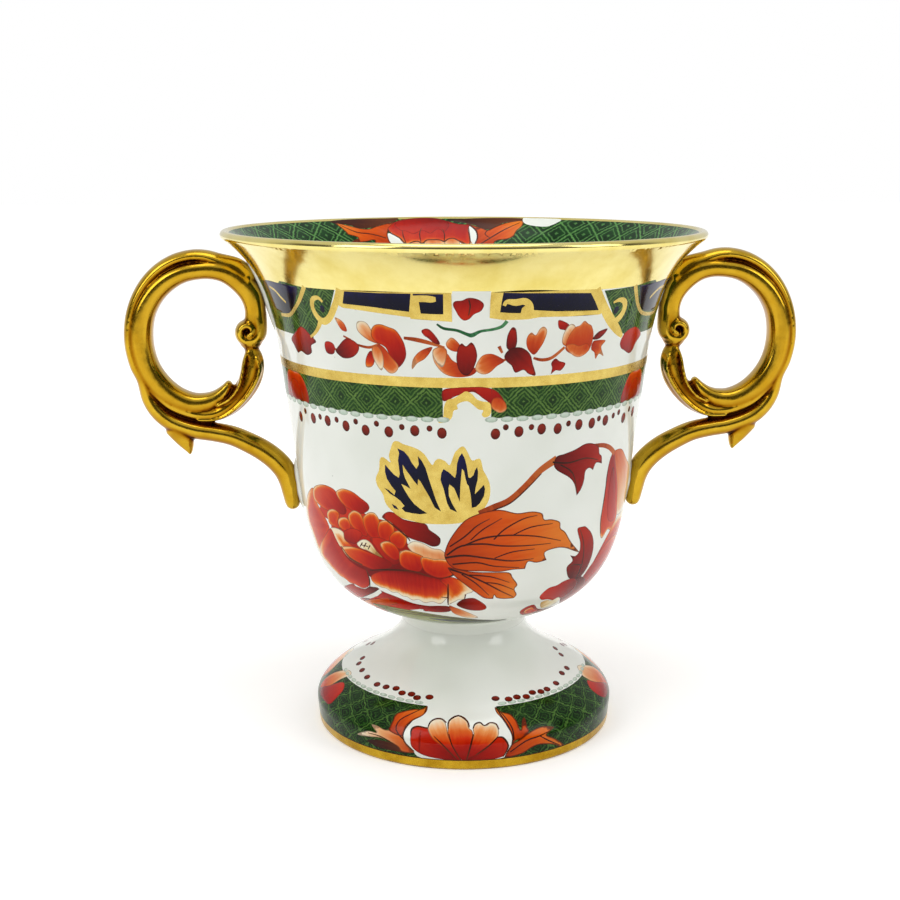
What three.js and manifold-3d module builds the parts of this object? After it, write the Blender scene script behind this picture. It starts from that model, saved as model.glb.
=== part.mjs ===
// A two-handled porcelain goblet, in millimetres, +Z up, with the origin at the centre of the ring it stands on.
// The bowl and the domed foot are thrown apart and luted with slip at the waist. Each handle is cast apart
// and luted to the bowl at two seats: one under the flare of the rim, one low on the wall.
import * as THREE from "three";
import { mergeVertices } from "three/addons/utils/BufferGeometryUtils.js";
import Module from "manifold-3d";

const wasm = await Module();
wasm.setup();

// Bowl
const overallHeight = 114;
const rimRadius = 54;
const lipRadius = 1; // the lip is rolled to this radius
const flareAngle = 36.5; // degrees above level, where the wall meets the lip
const flarePull = 14.3;
const shoulderPull = 28.6;
const bodyRadius = 38.9; // where the straight of the wall turns into the flare
const bodyHeight = 66;
const bodySlant = 7.5; // degrees off upright at that height
const bellyPull = 20.4;
const waistHeight = 26.6; // underside of the bowl, where the foot is luted on
const waistRadius = 15;
const bellyAngle = 14; // degrees above level, where the belly leaves the waist
const cupPull = 22.2;
const wallThickness = 2.6;
const floorThickness = 2.8;

// Foot
const footRadius = 34.5;
const footRingWidth = 3.4; // the flat that touches the table
const bandHeight = 5.5; // upright band at the edge
const edgeDraft = 0.5; // how far the band leans in at the table
const domeRadius = 27; // where the dome turns into the hollow sweep of the stem
const domeHeight = 13.1;
const domeAngle = 28; // degrees above level at that point
const domePull = 3.6;
const bandPull = 2.7;
const stemRadius = 14.2;
const stemHeight = 24.6; // the narrowest place
const stemSweepPull = 5.6;
const stemPull = 5.3;
const stemLip = 0.6; // the stem widens again by this much under the bowl
const footWall = 3.4;
const underHollowHeight = 19;

// Handles. Thicknesses are in the plane of the handle, depths are across it.
const ringDrop = 24; // centre of the finger ring, below the rim
const ringReach = 17.6; // centre of the finger ring, out from the wall
const ringHalfWidth = 13.4; // of its centre line
const ringHalfHeight = 16.2;
const ringThickness = 6.5;
const ringDepth = 7;
const tailThinning = 1.6; // the ring thins by this much as it curls in at the bottom
const rootThickness = 7.8; // of the ring where it leaves the wall
const rootDrop = 2.4; // centre of the root, below the top of the ring's centre line
const rootSink = 2; // limbs start this far inside the wall, and the seat trims them
const armThickness = 5;
const armDepth = 6.4;
const armOut = 3.2; // centre line of the arm, out from the wall
const voluteDrop = 22; // centre of the scroll that ends the arm, below the rim
const voluteOut = 5.8; // and out from the wall
const voluteRadius = 2.6; // of its centre line, where the scroll begins
const voluteTurns = 1.2;
const voluteThickness = 3.6;
const voluteTip = 1.6; // thickness at the end of the scroll
const neckDrop = 4.6; // end of the ring, below the centre of the scroll
const neckThickness = 3.8;
const neckDepth = 4.8;
const strutThickness = 4.8;
const strutDepth = 6;
const strutDrop = 58; // middle of the lower seat, below the rim
const spurLength = 6;
const spurThickness = 4;
const spurTip = 0.9;
const spurLean = 18; // degrees off upright, towards the bowl

// Luting
const slipThickness = 0.6;
const seatGap = 0.3; // each side of the slip under a handle
const slipWidth = 5.2;
const upperSeatLength = 16;
const upperSeatDrop = 14.5; // middle of the upper seat, below the rim
const lowerSeatLength = 11;
const waistSlipInset = 0.5; // the slip at the waist is trimmed back this far

const turns = 56; // facets of the bowl and the foot
const weldDistance = 1e-4;

const porcelain = new THREE.MeshStandardMaterial({ color: 0xe3eae8, roughness: 0.16, metalness: 0 });
const paintedFoot = new THREE.MeshStandardMaterial({ color: 0xa9b7a3, roughness: 0.2, metalness: 0 });
const slip = new THREE.MeshStandardMaterial({ color: 0xf1efe8, roughness: 0.35, metalness: 0 });
const gilt = new THREE.MeshStandardMaterial({ color: 0xb8860b, roughness: 0.3, metalness: 0.9 });

const radians = THREE.MathUtils.degToRad;
const lerp = THREE.MathUtils.lerp;

// A point at an angle and a distance from another, in the plane of a profile.
function awayFrom(point, degrees, distance) {
  const angle = radians(degrees);
  return new THREE.Vector2(point.x + distance * Math.cos(angle), point.y + distance * Math.sin(angle));
}

// Points along a profile curve, each with the unit normal on the side of the axis.
function sampleProfile(curve, steps) {
  const samples = [];
  for (let i = 0; i <= steps; i++) {
    const tangent = curve.getTangent(i / steps);
    samples.push({ point: curve.getPoint(i / steps), inward: new THREE.Vector2(-tangent.y, tangent.x) });
  }
  return samples;
}

function offsetPoint(sample, distance) {
  return sample.point.clone().addScaledVector(sample.inward, distance);
}

// The inner side of a wall: it follows the outside at the wall's thickness, then rounds off to the axis.
function innerSide(samples, thicknessAt, apexHeight) {
  const points = samples.map((sample) => offsetPoint(sample, thicknessAt(sample)));
  const [last, before] = [points.at(-1), points.at(-2)];
  const slope = (last.y - before.y) / (last.x - before.x);
  const corner = new THREE.Vector2(last.x + (apexHeight - last.y) / slope, apexHeight);
  const rounding = new THREE.QuadraticBezierCurve(last, corner, new THREE.Vector2(0, apexHeight));
  return [...points, ...rounding.getPoints(5).slice(1)];
}

// A solid of revolution about Z.
function turned(profile) {
  return new THREE.LatheGeometry(profile, turns).rotateX(Math.PI / 2);
}

function toSolid(geometry) {
  const bare = geometry.clone();
  bare.deleteAttribute("normal");
  bare.deleteAttribute("uv");
  const merged = mergeVertices(bare, weldDistance);
  return new wasm.Manifold(
    new wasm.Mesh({
      numProp: 3,
      vertProperties: merged.attributes.position.array,
      triVerts: new Uint32Array(merged.index.array),
    }),
  );
}

function toGeometry(solid) {
  const mesh = solid.getMesh();
  const geometry = new THREE.BufferGeometry();
  geometry.setAttribute("position", new THREE.BufferAttribute(mesh.vertProperties, 3));
  geometry.setIndex(new THREE.BufferAttribute(mesh.triVerts, 1));
  geometry.computeVertexNormals();
  return geometry;
}

// The outside of the bowl, from the waist up to the lip: the belly, then the flare.
const waistPoint = new THREE.Vector2(waistRadius, waistHeight);
const bodyPoint = new THREE.Vector2(bodyRadius, bodyHeight);
const lipCentre = new THREE.Vector2(rimRadius - lipRadius, overallHeight - lipRadius);
const lipStart = awayFrom(lipCentre, flareAngle - 90, lipRadius);
const belly = new THREE.CubicBezierCurve(
  waistPoint,
  awayFrom(waistPoint, bellyAngle, cupPull),
  awayFrom(bodyPoint, -90 - bodySlant, bellyPull),
  bodyPoint,
);
const flare = new THREE.CubicBezierCurve(
  bodyPoint,
  awayFrom(bodyPoint, 90 - bodySlant, shoulderPull),
  awayFrom(lipStart, 180 + flareAngle, flarePull),
  lipStart,
);
const bowlOutside = [...sampleProfile(belly, 13), ...sampleProfile(flare, 10).slice(1)];

// How far the outside of the bowl is from the axis at a height.
function wallRadius(height) {
  const above = bowlOutside.findIndex((sample) => sample.point.y > height);
  const upper = bowlOutside.at(above < 0 ? -1 : Math.max(above, 1));
  const lower = bowlOutside.at(above < 0 ? -2 : Math.max(above, 1) - 1);
  const share = (height - lower.point.y) / (upper.point.y - lower.point.y);
  return lerp(lower.point.x, upper.point.x, share);
}

function makeBowl() {
  const lip = [];
  const lipSteps = 6;
  for (let i = 0; i <= lipSteps; i++) {
    lip.push(awayFrom(lipCentre, flareAngle - 90 + (180 * i) / lipSteps, lipRadius));
  }
  // The wall thins to the lip over the flare.
  const thicknessAt = ({ point }) => {
    const share = THREE.MathUtils.clamp((point.y - bodyHeight) / (lipStart.y - bodyHeight), 0, 1);
    return lerp(wallThickness, 2 * lipRadius, share);
  };
  const roundedFrom = 4; // samples of the belly that the rounding of the floor takes the place of
  const downwards = bowlOutside.slice(roundedFrom, -1).reverse();
  return turned([
    new THREE.Vector2(0, waistHeight),
    ...bowlOutside.slice(0, -1).map((sample) => sample.point),
    ...lip,
    ...innerSide(downwards, thicknessAt, waistHeight + floorThickness),
  ]);
}

function makeFoot() {
  const footTop = waistHeight - slipThickness;
  const bandTop = new THREE.Vector2(footRadius, bandHeight);
  const domeEnd = new THREE.Vector2(domeRadius, domeHeight);
  const stem = new THREE.Vector2(stemRadius, stemHeight);
  const stemTop = new THREE.Vector2(stemRadius + stemLip, footTop);
  const dome = new THREE.CubicBezierCurve(
    bandTop,
    awayFrom(bandTop, 90, bandPull),
    awayFrom(domeEnd, -domeAngle, domePull),
    domeEnd,
  );
  const sweep = new THREE.CubicBezierCurve(
    domeEnd,
    awayFrom(domeEnd, 180 - domeAngle, stemSweepPull),
    awayFrom(stem, -90, stemPull),
    stem,
  );
  const domeSteps = 5;
  const sweepSteps = 8;
  const hollowSteps = 5; // of the sweep, before the hollow rounds off to the axis
  const under = [...sampleProfile(dome, domeSteps), ...sampleProfile(sweep, sweepSteps).slice(1, hollowSteps)];
  const outside = [...dome.getPoints(domeSteps), ...sweep.getPoints(sweepSteps).slice(1)];
  const stemBend = new THREE.Vector2(stemRadius, (stemHeight + footTop) / 2);
  const stemEnd = new THREE.QuadraticBezierCurve(stem, stemBend, stemTop);
  return turned([
    new THREE.Vector2(0, underHollowHeight),
    ...innerSide(under, () => footWall, underHollowHeight).reverse().slice(1),
    new THREE.Vector2(footRadius - edgeDraft - footRingWidth, 0),
    new THREE.Vector2(footRadius - edgeDraft, 0),
    ...outside,
    ...stemEnd.getPoints(3).slice(1),
    new THREE.Vector2(0, footTop),
  ]);
}

function makeWaistSlip() {
  const edge = stemRadius + stemLip - waistSlipInset;
  return turned([
    new THREE.Vector2(0, waistHeight - slipThickness),
    new THREE.Vector2(edge, waistHeight - slipThickness),
    new THREE.Vector2(edge, waistHeight),
    new THREE.Vector2(0, waistHeight),
  ]);
}

// The bowl as a solid block, grown outwards by a distance. It shapes the seats that lie against the wall.
function grownBowl(distance) {
  const side = bowlOutside.map((sample) => offsetPoint(sample, -distance));
  const bottom = new THREE.Vector2(0, side[0].y);
  const top = new THREE.Vector2(0, side.at(-1).y);
  return toSolid(turned([bottom, ...side, top]));
}

// A limb of a handle in the plane y = 0. Each key is [x, z, thickness, depth] of an oval section.
// The section follows a spline through the keys and is rounded off at both ends.
function makeLimb(keys, steps, sides) {
  const centreLine = new THREE.CatmullRomCurve3(keys.map(([x, z]) => new THREE.Vector3(x, 0, z)));
  const sizes = new THREE.CatmullRomCurve3(keys.map((key) => new THREE.Vector3(key[2], key[3], 0)));
  const capAngles = [70, 40];
  const stations = [];
  for (const angle of capAngles) stations.push([0, -Math.sin(radians(angle)), Math.cos(radians(angle))]);
  for (let i = 0; i <= steps; i++) stations.push([i / steps, 0, 1]);
  for (const angle of [...capAngles].reverse()) stations.push([1, Math.sin(radians(angle)), Math.cos(radians(angle))]);

  const vertices = [];
  const pole = (t, side) => {
    const reach = (side * sizes.getPoint(t).x) / 2;
    vertices.push(...centreLine.getPoint(t).addScaledVector(centreLine.getTangent(t), reach));
  };
  for (const [t, push, scale] of stations) {
    const centre = centreLine.getPoint(t);
    const along = centreLine.getTangent(t);
    const size = sizes.getPoint(t);
    centre.addScaledVector(along, (push * size.x) / 2);
    for (let k = 0; k < sides; k++) {
      const angle = (2 * Math.PI * k) / sides;
      const out = (scale * Math.cos(angle) * size.x) / 2;
      vertices.push(centre.x + along.z * out, (scale * Math.sin(angle) * size.y) / 2, centre.z - along.x * out);
    }
  }
  pole(0, -1);
  pole(1, 1);

  const triangles = [];
  const rings = stations.length;
  for (let ring = 0; ring < rings - 1; ring++) {
    for (let k = 0; k < sides; k++) {
      const a = ring * sides + k;
      const b = ring * sides + ((k + 1) % sides);
      triangles.push(a, b, a + sides, b, b + sides, a + sides);
    }
  }
  for (let k = 0; k < sides; k++) {
    const next = (k + 1) % sides;
    triangles.push(rings * sides, next, k);
    triangles.push(rings * sides + 1, (rings - 1) * sides + k, (rings - 1) * sides + next);
  }
  const geometry = new THREE.BufferGeometry();
  geometry.setAttribute("position", new THREE.Float32BufferAttribute(vertices, 3));
  geometry.setIndex(triangles);
  return toSolid(geometry);
}

// The centres that the handle on the +X side is drawn about.
const ringHeight = overallHeight - ringDrop;
const ringX = wallRadius(ringHeight) + ringReach;
const voluteHeight = overallHeight - voluteDrop;
const voluteX = wallRadius(voluteHeight) + voluteOut;
const strutHeight = overallHeight - strutDrop;
const strutX = wallRadius(strutHeight);

// The finger ring: out of the wall under the rim, round an upright oval, and up to the neck below the scroll.
function makeRing() {
  const ringTop = ringHeight + ringHalfHeight;
  const rootX = wallRadius(ringTop);
  const firstAngle = 95;
  const lastAngle = -150;
  const keyCount = 11;
  const thinsFrom = 0.6; // share of the way round
  const keys = [
    [rootX - rootSink, ringTop - rootDrop, rootThickness, ringDepth],
    [rootX + rootSink, ringTop - rootDrop / 2, rootThickness, ringDepth],
  ];
  for (let i = 0; i < keyCount; i++) {
    const share = i / (keyCount - 1);
    const angle = radians(lerp(firstAngle, lastAngle, share));
    const thinning = lerp(0, tailThinning, Math.max(0, share - thinsFrom) / (1 - thinsFrom));
    keys.push([
      ringX + ringHalfWidth * Math.cos(angle),
      ringHeight + ringHalfHeight * Math.sin(angle),
      ringThickness - thinning,
      ringDepth - thinning,
    ]);
  }
  keys.push([voluteX, voluteHeight - neckDrop, neckThickness, neckDepth]);
  return makeLimb(keys, 28, 10);
}

// The arm that runs down the wall from the root of the ring and curls into a scroll.
function makeArm() {
  const armTop = ringHeight + ringHalfHeight - rootDrop;
  const armBottom = voluteHeight + 1.4 * voluteRadius; // where the curl takes over from the straight
  const keyCount = 4;
  const keys = [];
  for (let i = 0; i < keyCount; i++) {
    const height = lerp(armTop, armBottom, i / (keyCount - 1));
    keys.push([wallRadius(height) + armOut, height, armThickness, armDepth]);
  }
  const curlKeys = 8;
  const tightening = 0.75; // share of its radius that the scroll has lost at its end
  for (let i = 0; i < curlKeys; i++) {
    const share = i / (curlKeys - 1);
    const angle = Math.PI + 2 * Math.PI * voluteTurns * share;
    const radius = voluteRadius * (1 - tightening * share);
    keys.push([
      voluteX + radius * Math.cos(angle),
      voluteHeight + radius * Math.sin(angle),
      lerp(voluteThickness, voluteTip, share),
      armDepth,
    ]);
  }
  return makeLimb(keys, 24, 8);
}

// The strut that carries the ring: from under its outer side down to the lower seat.
function makeStrut() {
  // Out and up from the centre of the ring.
  const underRing = [
    [7.6, -14.6],
    [6.2, -19.4],
    [1.6, -21.4],
    [-3.2, -22],
    [-7.2, -22.6],
    [-10.6, -24.4],
    [-13.8, -26.4],
  ];
  // Out and up from the wall at the middle of the lower seat.
  const downWall = [
    [5.3, 5.8],
    [3.2, 3.4],
    [2.3, 0.6],
    [2, -2],
    [1.5, -3.8],
  ];
  const keys = [
    ...underRing.map(([out, up]) => [ringX + out, ringHeight + up, strutThickness, strutDepth]),
    ...downWall.map(([out, up]) => [strutX + out, strutHeight + up, strutThickness, strutDepth]),
  ];
  return makeLimb(keys, 18, 8);
}

// The pointed spur that hangs below the ring where the strut leaves it.
function makeSpur() {
  const root = new THREE.Vector2(ringX + 5.4, ringHeight - ringHalfHeight - strutThickness);
  const keys = [0, 0.5, 1].map((share) => {
    const point = awayFrom(root, -90 - spurLean, spurLength * share);
    const thickness = lerp(spurThickness, spurTip, share);
    return [point.x, point.y, thickness, thickness];
  });
  return makeLimb(keys, 4, 8);
}

function makeHandle() {
  const limbs = [makeRing(), makeArm(), makeStrut(), makeSpur()];
  const joined = limbs.reduce((sum, limb) => sum.add(limb));
  return toGeometry(joined.subtract(grownBowl(slipThickness + 2 * seatGap)));
}

// A pad of slip on the wall under a handle: a long rounded patch that follows the wall.
function makeHandleSlip(middleHeight, length) {
  const half = slipWidth / 2;
  const patch = new THREE.Shape();
  patch.absarc(0, length / 2 - half, half, 0, Math.PI);
  patch.absarc(0, half - length / 2, half, Math.PI, 2 * Math.PI);
  const reach = rimRadius + ringReach;
  const block = new THREE.ExtrudeGeometry(patch, { depth: reach, bevelEnabled: false, curveSegments: 8 });
  block.rotateX(Math.PI / 2).rotateZ(Math.PI / 2).translate(0, 0, middleHeight);
  const skin = grownBowl(seatGap + slipThickness).subtract(grownBowl(seatGap));
  return toGeometry(skin.intersect(toSolid(block)));
}

function named(name, geometry, material) {
  const mesh = new THREE.Mesh(geometry, material);
  mesh.name = name;
  return mesh;
}

const goblet = new THREE.Group();
goblet.add(named("bowl", makeBowl(), porcelain));
goblet.add(named("foot", makeFoot(), paintedFoot));
goblet.add(named("foot_slip_joint", makeWaistSlip(), slip));

const handleGeometry = makeHandle();
const upperSlipGeometry = makeHandleSlip(overallHeight - upperSeatDrop, upperSeatLength);
const lowerSlipGeometry = makeHandleSlip(strutHeight, lowerSeatLength);
const sides = [
  ["right", 0],
  ["left", Math.PI],
];
for (const [side, turn] of sides) {
  const handle = new THREE.Group();
  handle.rotation.z = turn;
  handle.add(named(`${side}_handle`, handleGeometry, gilt));
  handle.add(named(`${side}_handle_upper_slip`, upperSlipGeometry, slip));
  handle.add(named(`${side}_handle_lower_slip`, lowerSlipGeometry, slip));
  goblet.add(handle);
}

export default goblet;
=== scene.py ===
import math

import bmesh
import bpy
import numpy as np
from mathutils import Euler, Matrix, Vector
from mathutils.geometry import delaunay_2d_cdt


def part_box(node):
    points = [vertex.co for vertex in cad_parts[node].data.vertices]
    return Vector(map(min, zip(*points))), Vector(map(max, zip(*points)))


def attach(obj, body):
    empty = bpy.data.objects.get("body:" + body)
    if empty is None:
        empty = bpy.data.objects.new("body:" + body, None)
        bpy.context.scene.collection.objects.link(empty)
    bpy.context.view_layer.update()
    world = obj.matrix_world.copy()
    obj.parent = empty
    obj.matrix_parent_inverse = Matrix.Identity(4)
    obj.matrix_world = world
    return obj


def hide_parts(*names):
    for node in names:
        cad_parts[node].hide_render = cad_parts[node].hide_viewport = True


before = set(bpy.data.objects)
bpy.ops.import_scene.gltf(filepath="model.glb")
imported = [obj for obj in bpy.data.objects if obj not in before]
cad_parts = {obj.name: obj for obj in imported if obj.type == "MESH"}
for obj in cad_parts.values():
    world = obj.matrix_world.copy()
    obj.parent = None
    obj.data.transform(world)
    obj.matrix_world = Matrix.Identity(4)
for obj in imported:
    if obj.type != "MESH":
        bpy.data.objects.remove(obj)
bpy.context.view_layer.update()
scene = bpy.context.scene
scene.view_settings.view_transform = "Standard"
# Every form is drawn in mm and made in metres. Vertices nearer than weldReach, in metres, become one
mm = 0.001
weldReach = 2e-6
print("frame loaded")


# Small helpers for colours, curves and nodes

def linearColor(hexText, alpha=1.0):
    channels = []
    for i in (0, 2, 4):
        value = int(hexText[i:i + 2], 16) / 255
        channels.append(value / 12.92 if value <= 0.04045 else ((value + 0.055) / 1.055) ** 2.4)
    return (*channels, alpha)


def mix(a, b, share):
    return a + (b - a) * share


def away(point, degrees, distance):
    angle = math.radians(degrees)
    return (point[0] + distance * math.cos(angle), point[1] + distance * math.sin(angle))


def bezier(points, steps):
    line = []
    for i in range(steps + 1):
        t = i / steps
        weights = ((1 - t) ** 3, 3 * t * (1 - t) ** 2, 3 * t * t * (1 - t), t ** 3)
        line.append(tuple(sum(w * p[axis] for w, p in zip(weights, points)) for axis in (0, 1)))
    return line


# A smooth line through keys of any length. A key given twice makes a corner
def smoothLine(keys, steps, closed=False):
    count = len(keys)
    line = []
    for i in range(count if closed else count - 1):
        if closed:
            a, b, c, d = (keys[(i + k) % count] for k in (-1, 0, 1, 2))
        else:
            a, b, c, d = keys[max(i - 1, 0)], keys[i], keys[i + 1], keys[min(i + 2, count - 1)]
        if b == c:
            continue
        for k in range(steps):
            t = k / steps
            line.append(tuple(
                0.5 * (2 * q + (r - p) * t + (2 * p - 5 * q + 4 * r - s) * t * t + (3 * q - p - 3 * r + s) * t ** 3)
                for p, q, r, s in zip(a, b, c, d)
            ))
    if not closed:
        line.append(tuple(keys[-1]))
    return line


# Adds one node. A socket as an input is linked, and so is the first output of a node. Any other value is set. stops
# are the colours of a ramp
def addNode(tree, kind, inputs=None, stops=None, **settings):
    made = tree.nodes.new("ShaderNode" + kind)
    for key, value in settings.items():
        setattr(made, key, value)
    for key, value in (inputs or {}).items():
        value = value.outputs[0] if isinstance(value, bpy.types.Node) else value
        if isinstance(value, bpy.types.NodeSocket):
            tree.links.new(value, made.inputs[key])
        else:
            made.inputs[key].default_value = value
    for i, (position, color) in enumerate(stops or []):
        elements = made.color_ramp.elements
        element = elements[i] if i < 2 else elements.new(position)
        element.position = position
        element.color = linearColor(color) if isinstance(color, str) else color
    return made


def newObject(name, data):
    made = bpy.data.objects.new(name, data)
    scene.collection.objects.link(made)
    return made


def newMaterial(name):
    material = bpy.data.materials.new(name)
    material.use_nodes = True
    material.node_tree.nodes.clear()
    return material, material.node_tree


# The turned forms. A turned line is a list of (radius, height) in mm, with the length along it

def turnedLine(points):
    lengths = [0.0]
    for (r0, z0), (r1, z1) in zip(points, points[1:]):
        lengths.append(lengths[-1] + math.hypot(r1 - r0, z1 - z0))
    return {"points": points, "lengths": lengths, "total": lengths[-1]}


def lineAt(line, along):
    lengths = line["lengths"]
    i = min(max(int(np.searchsorted(lengths, along)) - 1, 0), len(lengths) - 2)
    share = (along - lengths[i]) / (lengths[i + 1] - lengths[i])
    before, after = line["points"][i], line["points"][i + 1]
    return mix(before[0], after[0], share), mix(before[1], after[1], share)


# The unit normal on the right of the line, so outwards where the line is drawn upwards
def lineNormal(line, along):
    reach = 0.3
    low = lineAt(line, max(0.0, along - reach))
    high = lineAt(line, min(line["total"], along + reach))
    run, rise = high[0] - low[0], high[1] - low[1]
    length = math.hypot(run, rise)
    return rise / length, -run / length


bowlForm = {
    "height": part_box("bowl")[1].z / mm,
    "rimRadius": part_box("bowl")[1].y / mm,
    "lipRadius": 1.0,
    "flareAngle": 36.5,
    "flarePull": 14.3,
    "shoulderPull": 28.6,
    "bodyRadius": 38.9,
    "bodyHeight": 66.0,
    "bodySlant": 7.5,
    "bellyPull": 20.4,
    "waistHeight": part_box("bowl")[0].z / mm,
    "waistRadius": 15.0,
    "bellyAngle": 14.0,
    "cupPull": 22.2,
    "wall": 2.6,
    "floor": 2.8,
    # mm along the outside, where the inside leaves the wall for the floor
    "floorFrom": 18.0,
    "steps": 120,
    "lipSteps": 20,
}
lipCentre = (bowlForm["rimRadius"] - bowlForm["lipRadius"], bowlForm["height"] - bowlForm["lipRadius"])
lipStart = away(lipCentre, bowlForm["flareAngle"] - 90, bowlForm["lipRadius"])
waistPoint = (bowlForm["waistRadius"], bowlForm["waistHeight"])
bodyPoint = (bowlForm["bodyRadius"], bowlForm["bodyHeight"])
belly = bezier((
    waistPoint,
    away(waistPoint, bowlForm["bellyAngle"], bowlForm["cupPull"]),
    away(bodyPoint, -90 - bowlForm["bodySlant"], bowlForm["bellyPull"]),
    bodyPoint,
), bowlForm["steps"])
flare = bezier((
    bodyPoint,
    away(bodyPoint, 90 - bowlForm["bodySlant"], bowlForm["shoulderPull"]),
    away(lipStart, 180 + bowlForm["flareAngle"], bowlForm["flarePull"]),
    lipStart,
), bowlForm["steps"])
bowlOutside = turnedLine(belly + flare[1:])
lipLine = turnedLine([
    away(lipCentre, bowlForm["flareAngle"] - 90 + 180 * i / bowlForm["lipSteps"], bowlForm["lipRadius"])
    for i in range(bowlForm["lipSteps"] + 1)])


# The inner side of a wall. It follows the outside at the wall's thickness, then is rounded off to the axis
def innerPoints(outside, firstAlong, lastAlong, thicknessAt, apexHeight, steps=160, roundSteps=24):
    points = []
    for i in range(steps + 1):
        along = mix(firstAlong, lastAlong, i / steps)
        r, z = lineAt(outside, along)
        out, up = lineNormal(outside, along)
        points.append((r - out * thicknessAt(z), z - up * thicknessAt(z)))
    (r0, z0), (r1, z1) = points[-2], points[-1]
    corner = (r1 + (apexHeight - z1) * (r1 - r0) / (z1 - z0), apexHeight)
    for i in range(1, roundSteps + 1):
        t = i / roundSteps
        points.append((
            (1 - t) ** 2 * r1 + 2 * t * (1 - t) * corner[0],
            (1 - t) ** 2 * z1 + 2 * t * (1 - t) * corner[1] + t * t * apexHeight,
        ))
    return points


# The bowl's wall thins from the body to the rolled lip
def bowlWall(height):
    share = min(1.0, max(0.0, (height - bowlForm["bodyHeight"]) / (lipStart[1] - bowlForm["bodyHeight"])))
    return mix(bowlForm["wall"], 2 * bowlForm["lipRadius"], share)


bowlFloorHeight = bowlForm["waistHeight"] + bowlForm["floor"]
bowlInner = innerPoints(bowlOutside, bowlOutside["total"], bowlForm["floorFrom"], bowlWall, bowlFloorHeight)
bowlInside = turnedLine([lipLine["points"][-1]] + bowlInner[1:])

footForm = {
    "radius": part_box("foot")[1].y / mm,
    "draft": 0.5,
    "bandHeight": 5.5,
    "ringWidth": 3.4,
    "domeRadius": 27.0,
    "domeHeight": 13.1,
    "domeAngle": 28.0,
    "domePull": 3.6,
    "bandPull": 2.7,
    "stemRadius": 14.2,
    "stemHeight": 24.6,
    "sweepPull": 5.6,
    "stemPull": 5.3,
    "stemLip": 0.6,
    "top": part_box("foot")[1].z / mm,
    "wall": 3.4,
    "hollowHeight": 19.0,
    "edgeRounding": 0.5,
    "neckShares": (0.4, 0.7),
    "neckLean": 0.2,
    "steps": 60,
    # the hollow under the dome ends at this point of the sweep
    "hollowSteps": 40,
    "edgeSteps": 8,
}
bandTop = (footForm["radius"], footForm["bandHeight"])
domeEnd = (footForm["domeRadius"], footForm["domeHeight"])
stemPoint = (footForm["stemRadius"], footForm["stemHeight"])
stemTop = (footForm["stemRadius"] + footForm["stemLip"], footForm["top"])
tableEdge = footForm["radius"] - footForm["draft"]
rounding, edgeSteps = footForm["edgeRounding"], footForm["edgeSteps"]
footBand = [away((tableEdge - rounding, rounding), angle, rounding) for angle in (-90, -60, -30, 0)]
footBand += [(mix(tableEdge, bandTop[0], i / edgeSteps), mix(rounding, bandTop[1], i / edgeSteps))
             for i in range(1, edgeSteps + 1)]
footDome = bezier((
    bandTop,
    away(bandTop, 90, footForm["bandPull"]),
    away(domeEnd, -footForm["domeAngle"], footForm["domePull"]),
    domeEnd,
), footForm["steps"])
footSweep = bezier((
    domeEnd,
    away(domeEnd, 180 - footForm["domeAngle"], footForm["sweepPull"]),
    away(stemPoint, -90, footForm["stemPull"]),
    stemPoint,
), footForm["steps"])
footNeck = bezier((
    stemPoint,
    (stemPoint[0], mix(stemPoint[1], stemTop[1], footForm["neckShares"][0])),
    (stemPoint[0] + footForm["neckLean"], mix(stemPoint[1], stemTop[1], footForm["neckShares"][1])),
    stemTop,
), edgeSteps)
footOutside = turnedLine(footBand + footDome[1:] + footSweep[1:] + footNeck[1:])
domeLine = turnedLine(footDome + footSweep[1:footForm["hollowSteps"]])
footHollow = innerPoints(domeLine, 0.0, domeLine["total"], lambda z: footForm["wall"], footForm["hollowHeight"])
ringInner = tableEdge - footForm["ringWidth"]
roundMiddle = 0.3 * rounding
footUnder = turnedLine(list(reversed(footHollow)) + [
    (ringInner, rounding),
    (ringInner + roundMiddle, roundMiddle),
    (ringInner + rounding, 0.0),
    footBand[0],
])
print("profiles drawn: bowl wall %.1f mm, foot %.1f mm" % (bowlOutside["total"], footOutside["total"]))


# Painted sheets. Half of a wall is unrolled to a flat sheet, u mm round from the front and v mm along the turned
# line, and every painted shape is an outline on it. One triangulation cuts the sheet along all the outlines, and
# the last shape painted over a triangle gives it its paint. The other half of the wall is the same, turned round

def newSheet(line, low, high, reference, cell, ground, inside=False):
    return {"line": line, "low": low, "high": high, "reference": reference, "cell": cell, "ground": ground,
            "inside": inside, "halfWidth": math.pi * reference / 2, "shapes": []}


def onSheet(sheet, angle, along):
    return (math.radians(angle) * sheet["reference"], along)


# Sheet units for one real mm round the wall at this height
def stretchAt(sheet, along):
    along = min(max(along, sheet["low"]), sheet["high"])
    return sheet["reference"] / lineAt(sheet["line"], along)[0]


# An outline in (degrees from the front, mm along). root and tip say which way the brush went
def paintShape(sheet, keys, paint, root=None, tip=None, steps=4):
    points = [onSheet(sheet, *key) for key in keys]
    outline = smoothLine(points, steps, closed=True) if steps else points
    root = onSheet(sheet, *root) if root else outline[0]
    tip = onSheet(sheet, *tip) if tip else outline[len(outline) // 2]
    sheet["shapes"].append({"outline": outline, "paint": paint, "root": root, "tip": tip})


# The long sides of a band have a point every degree or so, which keeps its triangles on the curve of the wall
def paintBand(sheet, low, high, paint, first=-90, last=90, step=1.2):
    count = max(1, round((last - first) / step))
    angles = [mix(first, last, i / count) for i in range(count + 1)]
    keys = [(angle, low) for angle in angles] + [(angle, high) for angle in reversed(angles)]
    paintShape(sheet, keys, paint, (first, low), (first, high), steps=0)


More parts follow.
